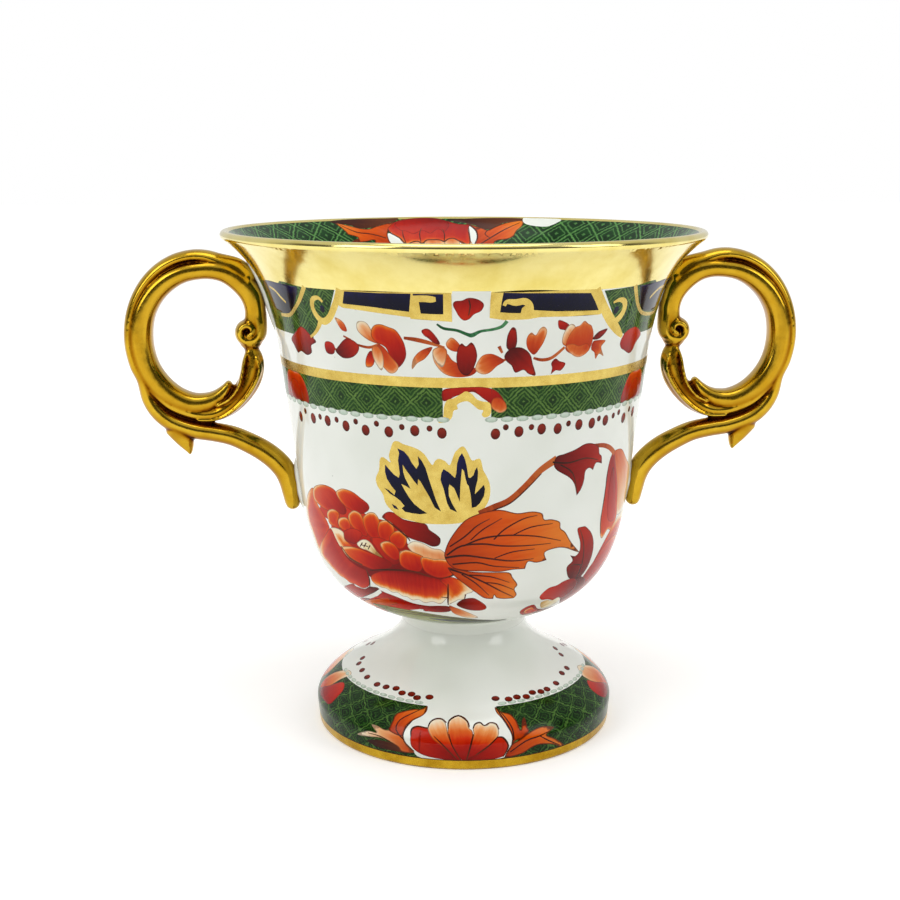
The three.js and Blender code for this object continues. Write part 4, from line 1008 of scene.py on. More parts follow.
# The peony, from the petals behind to those in front
paintAll(bowlSheet, [
    ("red", (-30.1, 29.4), (-32.8, 40.1), [(-54.2, 36.8), (-60.2, 38), (-57.3, 40.7), (-48.3, 42.7), (-41.5, 42.1),
     (-34.7, 40.2), (-28.3, 39.7), (-24, 38.1), (-22, 36.7), (-21, 34.6), (-11.9, 32.8), (-7, 30.7), (-7.9, 27.7),
     (-10.2, 25.8), (-17.2, 24.2), (-26.8, 24.2), (-35.3, 23.9), (-39, 25.4), (-41.7, 26.9), (-47.4, 27.9),
     (-51.2, 30.9), (-54, 33.8)]),
    ("broadPetal", (-43.5, 38.2), (-81.1, 34.7), [(-62.9, 43.3), (-68.2, 41.4), (-73.7, 37.7), (-75.5, 33.8),
     (-72.1, 30.6), (-70.7, 26.8), (-61.8, 29.2), (-57.1, 31.7), (-55.1, 34.8), (-56.8, 37.3), (-59.7, 39),
     (-62.2, 40.9)]),
    ("petal", (-46.9, 38.6), (-59.1, 44.6), [(-63.2, 42.7), (-61.2, 43.9), (-57.4, 44.8), (-53.8, 45.1), (-50.1, 44.8),
     (-48, 43.9), (-46.4, 42.4), (-44.5, 40.6), (-46.1, 39.4), (-50.3, 39.5), (-54.8, 39.2), (-59.4, 39.7),
     (-63.2, 40.7)]),
    ("petal", (-39.4, 39.2), (-45.8, 45.5), [(-48.7, 44.1), (-47.2, 44.9), (-44.7, 45.4), (-40.9, 45.1), (-37.9, 44.1),
     (-35.1, 43), (-34.7, 41.9), (-36.6, 40.8), (-39.3, 40.4), (-42.3, 40.8), (-45, 41.4), (-47.5, 42.7)]),
    ("darkRed", (-10.9, 35.5), (-28.9, 41.3), [(-30.1, 40.6), (-28, 41.8), (-25.3, 41.7), (-22.9, 40.6), (-19.6, 40.2),
     (-15.5, 39.9), (-14.2, 38.6), (-12, 37.6), (-10.7, 36.6), (-11.2, 35.2), (-13.4, 34.8), (-16.2, 35.5),
     (-19.1, 36), (-21.6, 36.6), (-24, 38), (-26.5, 39.2), (-28.7, 39.9)]),
    ("petal", (-44.7, 34), (-52.4, 39.9), [(-55.3, 38.6), (-53.8, 39.5), (-51.5, 40), (-49.1, 39.8), (-48.2, 38.9),
     (-49.9, 37.1), (-48.4, 35.7), (-51.7, 35.8), (-54.6, 36.2), (-55.3, 37.4)]),
    ("petal", (-42.3, 34.3), (-46.3, 38.7), [(-49.3, 37.8), (-47.5, 38.6), (-44.9, 38.8), (-43.3, 37.8), (-43.7, 36.5),
     (-45.4, 35.5), (-47.8, 35.8), (-49.4, 36.3)]),
    ("petal", (-36.2, 32.7), (-41.7, 40.9), [(-44.1, 39.2), (-43.2, 40.1), (-41.2, 40.9), (-38.9, 40.6), (-37.8, 39.7),
     (-36.6, 37.6), (-36.6, 35.5), (-39.7, 35.7), (-42.7, 37), (-43.9, 38.1)]),
    ("petal", (-33.2, 32.8), (-34.1, 41.2), [(-37.6, 39.6), (-36.6, 40.4), (-34.9, 41.1), (-33, 41.2), (-31.6, 40.3),
     (-31.1, 38.9), (-31, 36.5), (-33.1, 35.2), (-36, 35.7), (-37.6, 37.8)]),
    ("petal", (-29.4, 32.6), (-28.7, 40), [(-31.7, 38.8), (-30.5, 39.6), (-28.5, 39.9), (-26.8, 39.4), (-26, 38),
     (-26.7, 36.1), (-29.2, 35), (-31.6, 35.5), (-32.3, 37.2)]),
    ("petal", (-27.6, 31.9), (-23.6, 37.9), [(-27.2, 36.9), (-25.8, 37.6), (-24.1, 37.8), (-22.2, 37.1), (-21.9, 35.6),
     (-23.4, 33.8), (-25.5, 33.7), (-27.6, 34.6), (-28.1, 36)]),
    ("broadPetal", (-41.5, 29.9), (-51.8, 35.7), [(-55.8, 34.6), (-54, 35.4), (-51.6, 35.7), (-49, 35.6), (-47.3, 35),
     (-47.5, 33.6), (-45.1, 32.8), (-42.8, 31.9), (-44.8, 30.5), (-48.4, 30.9), (-52.1, 31.8), (-54.4, 33.2)]),
    ("red", (-43, 32), (-42.7, 36.7), [(-47.3, 35.2), (-45.2, 36.2), (-42.7, 36.7), (-40.3, 36.6), (-38.6, 35.8),
     (-40.3, 34.2), (-42.6, 33.1), (-45, 33.1), (-47.3, 33.5)]),
    ("centre", (-34.6, 30.9), (-38.9, 34.5), [(-41.7, 33.2), (-40.4, 34), (-38.9, 34.5), (-37.1, 34.6), (-35.3, 33.9),
     (-33.7, 32.4), (-31.6, 31), (-34.5, 31.5), (-37.4, 32.1), (-40.4, 32.4)]),
    ("red", (-26.3, 29.1), (-33.6, 35.6), [(-35.9, 34.9), (-34.1, 35.5), (-31.6, 35.7), (-29.3, 35.3), (-27.4, 34.6),
     (-25.9, 33.1), (-24.8, 31.5), (-25.6, 30), (-28.6, 29.5), (-30.7, 30.7), (-32.4, 32), (-34, 33.5)]),
    ("petal", (-25.2, 29.8), (-29.8, 35), [(-31.9, 34.1), (-30.7, 34.8), (-28.7, 35.1), (-26.3, 34.5), (-25, 33.2),
     (-24.8, 31.5), (-26.7, 30.7), (-29.4, 31.6), (-31.2, 32.9)]),
    ("petal", (-33.9, 26.9), (-45.3, 32.2), [(-49.8, 31.4), (-45.4, 32.1), (-41.2, 32.2), (-37.5, 31.8), (-33.5, 31.3),
     (-29.8, 30.6), (-28, 29.5), (-30.2, 28.4), (-35.8, 27.5), (-41.1, 28), (-45.7, 28.6), (-48.9, 29.9)]),
    ("palePetal", (-16.5, 28.6), (-17.4, 35.9), [(-21.8, 34.4), (-21.2, 35.2), (-19.8, 35.7), (-17.9, 35.7),
     (-15.7, 35.2), (-13.4, 34.4), (-10.8, 34.2), (-8.9, 33.1), (-8.4, 32.2), (-11.1, 31.6), (-14.4, 31.8),
     (-17.8, 32.2), (-20.3, 33.2)]),
    ("petal", (-20.3, 27.2), (-22.4, 33.7), [(-24.9, 32.8), (-23.7, 33.3), (-22.1, 33.6), (-19.3, 33.1), (-16.4, 32.1),
     (-17, 29.8), (-19, 28.4), (-22.7, 28.8), (-25.2, 30)]),
    ("petal", (-14.2, 25.7), (-12.3, 32.2), [(-17.7, 31.9), (-15.7, 32.2), (-13.2, 31.9), (-10.7, 32), (-7.6, 31.8),
     (-5.7, 31), (-5.4, 29.5), (-7.4, 28), (-11.4, 27.3), (-14.4, 27.8), (-16.9, 29.1)]),
    ("broadPetal", (-43.6, 31.9), (-72.6, 18), [(-54.6, 35.1), (-59.6, 32.7), (-70.8, 26.7), (-67.8, 25.5),
     (-64.1, 24.5), (-61.3, 23.5), (-58.5, 22.6), (-55.4, 22.3), (-53, 21.5), (-49.8, 21.6), (-46.1, 21.1),
     (-41.9, 22.2), (-39.9, 24.2), (-39.4, 26.8), (-44.3, 27.7), (-48.1, 28.9), (-50.4, 30.9), (-52.3, 32.9)]),
    ("darkRed", (-38.7, 22.1), (-54.4, 20.6), [(-54.1, 20.9), (-49.9, 21), (-44.7, 21.1), (-40.8, 22.4), (-39.7, 20.8),
     (-85.7, 5.7), (-45.8, 17.6), (-83.4, 10), (-86.3, 11.6)]),
    ("red", (-23.3, 20.2), (-26.2, 14.9), [(-38.8, 22.2), (-34.5, 21.5), (-29.4, 20.6), (-23.7, 19.2), (-17.7, 18.7),
     (-13.1, 19), (-9.1, 18.9), (-8.7, 17), (-13.2, 16.2), (-19.7, 16.2), (-26.7, 15.9), (-82.4, 1.3), (-88.4, 3.6),
     (-39.5, 19.6)]),
    ("palePetal", (-35.9, 19.4), (-77.4, 5.9), [(-84.7, 6.2), (-38.1, 19.1), (-34.2, 18.4), (-34, 17.1), (-79.2, 3.9),
     (-79.9, 5.8)]),
    ("broadPetal", (-22.9, 27.9), (-23.5, 19.7), [(-38.7, 25.3), (-36.2, 26.7), (-30.5, 28), (-23.3, 28.3),
     (-16.6, 27.7), (-11.4, 27), (-8.8, 26.2), (-8.4, 24.6), (-9, 22.5), (-10.3, 21), (-12.4, 19.7), (-15.2, 20.3),
     (-18.4, 19.7), (-20.6, 20.6), (-23.3, 20.2), (-25, 21.1), (-27, 21.2), (-28.7, 22.1), (-30.9, 21.9),
     (-33.1, 22.8), (-35.3, 22.9), (-38.2, 23.8)]),
    ("broadPetal", (-12.2, 28.2), (-2.8, 20.7), [(-11.5, 26.7), (-7.9, 27.7), (-4.5, 26.9), (-1.9, 25.7), (0.4, 25),
     (-0.2, 23.6), (-2.3, 23), (-2.8, 21.5), (-5.1, 21.3), (-6.9, 20.5), (-9.4, 19.7), (-9.3, 23.2), (-9.4, 25.2)]),
    ("palePetal", (-8.6, 19.4), (3.1, 13.2), [(-9, 19.2), (-6.7, 18.6), (-2.7, 17.1), (1.7, 14.9), (3.2, 13.5),
     (-0.4, 13.3), (-4.9, 14.7), (-7.9, 16.4)]),
    ("darkRed", (-6.1, 19.5), (5.2, 18.4), [(-6, 19.8), (-3.7, 21.4), (0, 21.9), (2.5, 21), (5.2, 19.3), (5.7, 17.9),
     (3.4, 17.2), (-0.7, 17.5), (-4.2, 18.5)]),
])
for keys in (
    [(-40.5, 32.7, 0.2), (-39.1, 33.8, 0.3)],
    [(-38.9, 32.7, 0.2), (-37.5, 33.9, 0.3)],
    [(-37.1, 32.4, 0.2), (-36, 33.5, 0.3)],
    [(-39.8, 33.2, 0.2), (-36.9, 33.1, 0.25)],
    [(-9.3, 19.4, 0.2), (-8.9, 23.2, 0.4), (-8.7, 25.9, 0.2)],
    [(-11.6, 22, 0.2), (-9.2, 21.9, 0.3)],
    [(-3, 21.1, 0.2), (-2.6, 23, 0.3)],
    [(-41.5, 21.7, 0.2), (-39.7, 24.7, 0.4), (-39.8, 27.1, 0.2)],
    [(-50.1, 31.6, 0.2), (-46.7, 29.2, 0.4), (-41.1, 28.2, 0.3)],
    [(-38.1, 27.2, 0.2), (-30.4, 28.2, 0.4), (-20.9, 28.6, 0.3), (-14.9, 27.5, 0.2)],
    [(-20.8, 35.7, 0.2), (-22, 36.7, 0.35), (-26.6, 39, 0.3), (-30.1, 40.5, 0.3)],
    [(-5.5, 30.7, 0.2), (-6.6, 28.3, 0.4), (-10.1, 27.3, 0.2)],
):
    paintStroke(bowlSheet, keys, "brown", steps=3)

# Olive leaf under the flowers, at the very bottom of the belly
paintAll(bowlSheet, [
    ("olive", (18, 9), (-47, 13), [(-48, 15), (-40, 15.8), (-30, 16), (-20, 15.4), (-10, 14.3), (-2, 13.2), (6, 11.8),
     (13, 10.8), (20, 10), (12, 7.4), (2, 6.2), (-12, 5.6), (-26, 6.4), (-38, 9), (-44, 12)]),
    ("navy", (12, 10), (-20, 11), [(15, 9.8), (5, 11), (-6, 11.8), (-20, 12), (-10, 10), (4, 9.4)]),
])
for keys in (
    [(16, 10.2, 0.3), (0, 12.3, 0.4), (-14, 14, 0.4), (-28, 14.9, 0.4), (-45, 14.6, 0.2)],
    [(8, 9.4, 0.2), (-8, 12.8, 0.4), (-24, 13.8, 0.4), (-38, 13.4, 0.3)],
):
    paintStroke(bowlSheet, keys, "brown")

# The blue leaf in its gilt outline, its flames cut by gilding
paintAll(bowlSheet, [
    ("lineGold", [(-24.4, 57.3), (-25.4, 55.9), (-26.2, 54.1), (-25.8, 52.8), (-28.2, 53.8), (-29.4, 53.1),
     (-29.9, 50.9), (-31.3, 49), (-30.9, 47.3), (-29.2, 45.6), (-28.6, 43.9), (-27, 42.5), (-23.7, 40.9),
     (-19.8, 40.3), (-15.2, 39.9), (-10.7, 39.9), (-6, 40.1), (-2.6, 40.6), (0.5, 41.5), (2.7, 43.1), (4.2, 44.8),
     (4.8, 46.5), (4.6, 48.7), (3.4, 50.7), (2.5, 51.8), (1.9, 53.7), (1.1, 54.3), (-0.8, 53.9), (-1.9, 55.3),
     (-2.9, 56.6), (-3.8, 56.9), (-5, 56.3), (-6.1, 55.3), (-7.4, 52.9), (-8.8, 53.7), (-10.6, 54.2), (-11.8, 53.7),
     (-12.6, 52.8), (-13.6, 53.6), (-14.8, 54.9), (-16.5, 55.9), (-18.6, 56.5), (-21.4, 57), (-22.9, 57.5)]),
])
paintAll(bowlSheet, [
    ("navy", (-17, 42.8), (-27.7, 52.2), [(-27.7, 52.2), (-26.3, 51.2), (-24.9, 50.2), (-23.4, 49.6), (-23, 50.4),
     (-23.1, 51.7), (-23.3, 53.4), (-22.8, 55), (-23.3, 56), (-21.2, 55.4), (-19.9, 54.4), (-18.9, 53), (-17.6, 51.8),
     (-16.8, 52.8), (-17, 54.6), (-15.8, 53.6), (-14.7, 52), (-13.9, 49.9), (-12.9, 47.6), (-11.8, 45.1),
     (-10.3, 42.7), (-12.2, 43.5), (-12.9, 44.4), (-13.9, 45.9), (-15.3, 47.6), (-16.5, 49.1), (-17.2, 49.6),
     (-17.4, 48.2), (-18.6, 49.2), (-19.8, 50.4), (-20.9, 51.4), (-21.9, 52.5), (-21.8, 50.9), (-21.3, 49.6),
     (-20.5, 48.5), (-19.7, 47.3), (-21.2, 47.9), (-22.7, 48.3), (-21.7, 47), (-20.3, 45.4), (-18.8, 44.1),
     (-16.7, 43), (-14.7, 42.2), (-17, 41.9), (-19.6, 42), (-21.9, 42.2), (-23, 42.9), (-22, 43.5), (-23.4, 44.6),
     (-24.9, 45.3), (-26.7, 45.9), (-28.6, 47.1), (-27.1, 46.7), (-25.2, 45.7), (-24.7, 46.6), (-26, 47.6),
     (-27.4, 49.1), (-27.9, 50.6)]),
    ("navy", (-17, 42.8), (-26.4, 43.7), [(-26.4, 43.7), (-24.9, 43.3), (-24, 42.5), (-25.6, 42.8)]),
    ("navy", (-2.9, 43.6), (-9.3, 52), [(-9.3, 52), (-7.7, 51.3), (-5.9, 50.1), (-5.5, 51.2), (-5.3, 53.1),
     (-4.7, 54.6), (-3.8, 55.5), (-2.9, 54.2), (-2.4, 52.7), (-1.9, 50.3), (-1.4, 50.1), (-0.4, 50.7), (0.1, 51.8),
     (0.7, 52.5), (1, 51.4), (0.9, 49.7), (0.3, 47.9), (0.1, 46.6), (1.4, 47.5), (2.8, 48.6), (3.2, 47.7), (2.9, 46.1),
     (1.7, 44.6), (0.5, 43.8), (-0.8, 43.6), (-1, 45.3), (-1.2, 46.6), (-1.8, 48.4), (-2.3, 48.8), (-2.8, 50.1),
     (-3.2, 51.6), (-3.8, 52.1), (-4, 50.8), (-4.3, 48.4), (-4.5, 44.9), (-5.3, 46.4), (-6.2, 47.9), (-7.6, 48.7),
     (-7.9, 47.9), (-7.8, 46.2), (-6.9, 44.6), (-5.3, 42.6), (-7.5, 43.3), (-8.4, 44.6), (-8.9, 46.1), (-9.4, 47.7),
     (-10.3, 49.6), (-10, 51.1)]),
], steps=0)

# The stem that crosses the white, its leaves and its hanging bud
paintAll(bowlSheet, [
    ("palePetal", (51.2, 52.5), (65.8, 36.8), [(50.8, 51.1), (53.2, 52.3), (58.1, 51.9), (63.8, 49.1), (71.6, 45.6),
     (75.5, 39.8), (69.7, 36.3), (62, 36.4), (57, 40.8), (53.5, 45.6)]),
    ("petal", (51.2, 52.5), (53.4, 31), [(50.4, 50.9), (49.4, 46.6), (50, 41.7), (49.2, 37.4), (50.7, 33.7),
     (53, 32.1), (56.1, 33.7), (59.8, 33.1), (62.8, 35.5), (61.3, 38.8), (58.6, 43.7), (54.9, 48.5), (52.6, 51.5)]),
    ("red", (52.2, 50.5), (58.2, 34.9), [(52.6, 48.2), (52.1, 42.7), (53.8, 37.4), (56.8, 35.5), (60.7, 35.7),
     (58.4, 39.4), (56.1, 43.7), (54.1, 47.6)]),
])
paintStroke(bowlSheet, [(1.5, 42.3, 1.3), (5.8, 43.6, 1.3), (10.8, 44.9, 1.4), (15.7, 47.7, 1.4), (20.6, 51, 1.5),
    (26, 53.1, 1.8)], "stem")
paintStroke(bowlSheet, [(1.9, 41.8, 0.25), (6.2, 43, 0.3), (11.4, 44.4, 0.3), (16.5, 47.3, 0.3),
    (21, 50.3, 0.25)], "brown")
paintStroke(bowlSheet, [(40.4, 54.7, 0.9), (45.3, 54.3, 1), (49.2, 53.3, 1.1), (52.6, 51.7, 1.2)], "stem")
paintStroke(bowlSheet, [(49.8, 48.9, 0.25), (49.8, 42.7, 0.35), (49.6, 37.4, 0.3), (51.3, 33.5, 0.3)], "brown")
paintAll(bowlSheet, [
    ("darkRed", (24.6, 52.5), (46.3, 50.5), [(25.1, 51.9), (25.8, 53.6), (28.5, 54), (32.5, 54.6), (36.4, 55.5),
     (39.9, 55.3), (42.9, 54.2), (43.7, 52.7), (45.1, 51.9), (45.7, 50.2), (45.7, 50.2), (42.7, 50.7), (41.5, 49.2),
     (41.5, 49.2), (39.6, 49.9), (38, 49.3), (37.8, 47.2), (36.8, 45.4), (35.2, 44.2), (35.2, 44.2), (33.8, 46.8),
     (31.5, 48.5), (28.5, 49.7), (26.2, 50.7)]),
    ("darkRed", (41.9, 22.9), (42.4, 36.8), [(37.4, 36.5), (39.6, 36.7), (41.6, 36.4), (45.4, 34.3), (47.9, 31.5),
     (48.8, 28.4), (48.1, 25), (45.1, 22.7), (41.9, 23.1), (38.1, 24.6), (35.7, 27.4), (37.8, 28.8), (36, 30.4),
     (36, 30.4), (38.8, 29.9), (40.3, 31), (39.7, 33.1), (38.4, 34.7)]),
    ("broadPetal", (61.3, 20.9), (78, 32.9), [(51, 25), (54.4, 30), (60.2, 33.9), (67.8, 35.9), (77.8, 34.9),
     (86.3, 29), (83.3, 20.9), (73.3, 15.5), (61.3, 15.5), (53.1, 18.8)]),
    ("petal", (53.1, 16.6), (74.3, 29), [(47, 20.9), (50.8, 26), (58.4, 30), (68.3, 30.4), (76.9, 26), (75.3, 18.8),
     (67.3, 13.1), (55.2, 12.6), (47, 15.5)]),
    ("darkRed", (44.9, 22.9), (61.3, 11.9), [(42.9, 23.3), (48, 23.1), (53.1, 20.9), (59.3, 16.6), (63.3, 12.4),
     (55.2, 11.6), (47, 13.9), (40.9, 18.4)]),
    ("red", (44.9, 20.9), (26.9, 19.8), [(27.5, 20.4), (29.9, 22.5), (33.9, 22.9), (36.9, 23.7), (41.9, 23.7),
     (45.9, 21.9), (47, 18.6), (42.9, 17), (39.3, 18.1), (36.7, 17.5), (32.9, 18.5), (29.5, 18.8)]),
    ("centre", (31.9, 15.5), (38.9, 17.7), [(30.3, 17.6), (32.9, 18.2), (35.9, 17.4), (39.5, 18.1), (41.9, 16.2),
     (38.9, 14.1), (34.9, 14.3), (31.9, 15.7)]),
    ("darkRed", (40.9, 13.1), (21.9, 15.5), [(22.1, 15), (23.5, 16.8), (26.7, 17.4), (29.1, 16.2), (31.9, 14.6),
     (36.9, 13.5), (42.9, 13.1), (48, 11.4), (40.9, 10.7), (33.9, 11.2), (27.9, 11.6), (24.3, 12.9)]),
    ("petal", (34.9, 11.9), (24.9, 15.5), [(24.3, 14.8), (26.9, 16.2), (30.3, 14.6), (33.9, 13), (30.9, 12.1),
     (26.9, 12.8)]),
])

# The two blades of the orange leaf and their veins
paintAll(bowlSheet, [
    ("orange", (-9, 31.9), (30.6, 34.9), [(-9.5, 32.3), (-9.1, 34.5), (-7, 37.4), (-3, 40.8), (1.9, 42.4), (6.8, 43),
     (9.6, 42.8), (13.7, 42), (18.7, 42.1), (22.3, 41.4), (23.2, 40), (26, 39.8), (29.3, 38.9), (29.9, 37.4),
     (32.1, 36.3), (35.5, 33.5), (40.8, 30.4), (40.8, 30.4), (37, 31.4), (32.6, 32.6), (28.6, 32.9), (24.7, 32.3),
     (25.9, 30.4), (25.9, 30.4), (22.1, 30.1), (18.8, 30.6), (18, 28.9), (18, 28.9), (13.4, 29), (8.9, 28.7),
     (3.9, 29), (-2, 29.2), (-7, 30)]),
    ("orange", (-7, 29), (14.9, 21.9), [(-8.6, 30), (-5, 29.6), (0, 29), (6.9, 28.7), (12.3, 28.4), (13.9, 27),
     (16.1, 25), (15.3, 23.8), (16.7, 22.1), (15.9, 21), (15.9, 21), (11.9, 21.1), (9, 21.6), (8, 22.5), (7.8, 21.3),
     (7.8, 21.3), (4.4, 21.7), (1, 23.5), (-3, 25.8), (-6.6, 28)]),
])
for keys in (
    [(-9.3, 32.3, 0.5), (-3, 32.9, 0.45), (4.9, 32.1, 0.4), (12.8, 31.2, 0.35), (20.7, 31.2, 0.15)],
    [(-8.8, 32.9, 0.4), (-4, 35.1, 0.4), (2.9, 35.5, 0.4), (8.8, 34.9, 0.35), (16.7, 34.5, 0.3), (26.6, 34.3, 0.15)],
    [(-3.4, 35.1, 0.35), (2.9, 36.8, 0.4), (10.8, 37.2, 0.35), (20.7, 36.4, 0.3), (30.6, 34.5, 0.15)],
    [(-7.8, 34.9, 0.3), (-3, 37.2, 0.35), (0.9, 39.6, 0.3), (4.9, 41.1, 0.15)],
    [(6.4, 36.4, 0.3), (9.8, 38.6, 0.35), (15.7, 40.6, 0.3), (20.6, 41.1, 0.15)],
    [(-1.1, 36.4, 0.25), (2.9, 38.8, 0.3), (8.8, 41.1, 0.15)],
    [(12.8, 37.2, 0.25), (18.7, 38.6, 0.3), (26.5, 38.8, 0.15)],
    [(-7, 30.8, 0.35), (0.9, 31.2, 0.35), (6.9, 30.2, 0.3), (15.8, 29.4, 0.15)],
    [(6.9, 32.1, 0.25), (12.8, 33.3, 0.3), (20.7, 33.5, 0.15)],
    [(-7.8, 29.6, 0.5), (-2, 28.2, 0.4), (3.9, 26.2, 0.4), (9.9, 23.7, 0.3), (15.5, 21.5, 0.15)],
    [(-1.4, 28.2, 0.3), (5.9, 27.6, 0.3), (12.9, 25.8, 0.15)],
    [(-4, 28.4, 0.3), (1, 26, 0.3), (6, 22.5, 0.15)],
    [(3.9, 26.2, 0.25), (8.9, 25.6, 0.3), (14.9, 23.7, 0.15)],
    [(24.6, 52.5, 0.4), (30.5, 51.9, 0.35), (37.4, 52.3, 0.3), (43.3, 51.3, 0.15)],
    [(27.5, 51.7, 0.3), (32.5, 49.5, 0.3), (35.2, 45.2, 0.15)],
    [(43.5, 23.3, 0.35), (43.7, 27.6, 0.35), (41.9, 32.3, 0.3), (38.8, 36.1, 0.15)],
    [(43.3, 27, 0.25), (39.7, 27.6, 0.25), (36.7, 27.6, 0.15)],
):
    paintStroke(bowlSheet, keys, "brown", steps=4)


# The place of each surface in the bake picture of its piece: left, bottom, right, top
bowlBake = {
    "outside": ((0.004, 0.60, 0.996, 0.996), (0.004, 0.20, 0.996, 0.596)),
    "inside": ((0.004, 0.10, 0.496, 0.195), (0.504, 0.10, 0.996, 0.195)),
    "lip": (0.004, 0.085, 0.996, 0.097),
    "lowerInside": (0.004, 0.03, 0.996, 0.082),
    "underside": (0.004, 0.004, 0.996, 0.026),
}
insideBands = {"depth": 18.0, "rimGold": (0.0, 0.5), "lipDiaper": (0.5, 13.0), "lineGold": (13.0, 14.6)}
insideSheet = newSheet(bowlInside, 0.0, insideBands["depth"], bands["reference"], bands["cell"], "glaze",
                       inside=True)
for paint in ("rimGold", "lipDiaper", "lineGold"):
    paintBand(insideSheet, *insideBands[paint], paint)

# Inside the lip a red flower hangs from the gilt edge between two orange leaves
paintAll(insideSheet, [
    ("brown", [(-37, 0.6), (-30.7, 0.1), (-19.7, 0.1), (-15.6, 0.1), (-17.1, 1.3), (-19.1, 1.9), (-23.2, 3),
     (-25.7, 3.6), (-28.6, 3.5), (-32.5, 2), (-35.6, 1.6)]),
    ("brown", [(-1.6, 1.1), (3.9, 0.5), (13.6, 0.1), (20.5, 0.3), (20.2, 1.1), (15.6, 1.9), (12.6, 3.5), (10.6, 4.6),
     (9, 4.1), (6.9, 3.2), (3.9, 2.3)]),
    ("glaze", [(-20.6, 5.7), (-20.6, 7.9), (-19.6, 9.6), (-19.2, 11), (-11.2, 11.6), (-0.6, 11.7), (6.6, 11.3),
     (6.7, 9.4), (7.5, 7.4), (7, 4.9), (5.1, 3.2), (-1.5, 5.5), (-12.6, 5.3)]),
    ("orange", (-21.7, 10.1), (-35.6, 1.6), [(-35.7, 1.4), (-32.6, 2.2), (-28.7, 3.6), (-25.8, 3.9), (-23.3, 3.1),
     (-19.2, 2), (-17, 1.6), (-19.2, 3.8), (-20.5, 5.8), (-20.6, 7.9), (-20, 10.4), (-25.9, 10.2), (-25.4, 7.7),
     (-27.8, 7.9), (-30.8, 8.2), (-33.6, 8), (-32.5, 7.4), (-30.7, 6.8), (-31.8, 6.1), (-33.7, 5.5), (-34, 4.6),
     (-34.8, 3.1)]),
    ("orange", (8.6, 10.7), (20.4, 1.4), [(3.8, 2.2), (6.9, 3.4), (9.1, 4.2), (10.6, 4.8), (12.6, 3.6), (15.6, 2.1),
     (19.6, 1.1), (20.8, 1.7), (20.6, 3.5), (19.5, 4.8), (18.7, 6.8), (16.6, 7.7), (13.8, 8.1), (13, 9.1),
     (14.1, 10.7), (7.3, 10.8), (6.7, 9.4), (7.5, 7.4), (7, 4.9), (5.6, 3.5)]),
    ("palePetal", (-12.8, 6), (-13.7, 10.6), [(-16.9, 7.2), (-16.4, 8.6), (-15.4, 9.3), (-13.9, 10.2), (-11.1, 10.5),
     (-9.8, 8.6), (-10.4, 6.7), (-14.2, 6.6)]),
    ("palePetal", (-5.9, 6.1), (-5.8, 11), [(-9.8, 8), (-8.9, 9.6), (-7, 10.9), (-4.1, 10.7), (-2.9, 9.5), (-3.1, 6.8),
     (-7.9, 6.7)]),
    ("palePetal", (-1, 6.1), (-0.6, 10.8), [(-3, 7.4), (-2.6, 9.6), (-1.5, 10.7), (0.8, 10.3), (2.1, 8.8), (1.5, 6.8),
     (-1.6, 6.6)]),
    ("palePetal", (3.3, 6.8), (5.3, 10.8), [(1.6, 8.1), (2.8, 9.3), (4.5, 10.2), (5.8, 10.9), (6.3, 10), (5.6, 8.4),
     (4, 6.8)]),
    ("petal", (-5.6, 0.1), (-8.5, 11.2), [(-19.9, 4.1), (-18.7, 2.8), (-16.7, 1.5), (-14, 0.6), (-9.2, 0.1),
     (-4.6, 0.3), (-1.6, 1.4), (1.6, 2.6), (4.9, 2.9), (4.6, 4.6), (5.1, 7.4), (5.3, 9), (4.1, 9.4), (2.5, 8.5),
     (1.2, 8.1), (-0.2, 7.5), (-1.6, 7.7), (-2.9, 8.4), (-4.2, 8), (-6.2, 7.9), (-8.4, 8), (-10, 8.9), (-11.3, 8.3),
     (-13.3, 8.6), (-15, 9.2), (-16.1, 8.3), (-16.9, 7.2), (-18, 6.5), (-19.2, 5.5)]),
    ("red", (-5.5, 0.1), (-8, 7.4), [(-17.4, 2.4), (-14, 0.8), (-9.2, 0.1), (-4.7, 0.4), (-1.6, 1.5), (-1.1, 3.4),
     (-2.8, 5.4), (-4.5, 4.4), (-7.1, 5.9), (-9.4, 4.8), (-12.1, 6), (-14.4, 5), (-16.2, 4.6)]),
    ("glaze", [(20.4, 0.1), (22.7, 0.1), (26.9, 0.1), (31.6, 0.3), (31, 1.6), (29.5, 2.7), (27.9, 3.2), (24.9, 3.1),
     (22.3, 2.6), (20.7, 1.7)]),
])
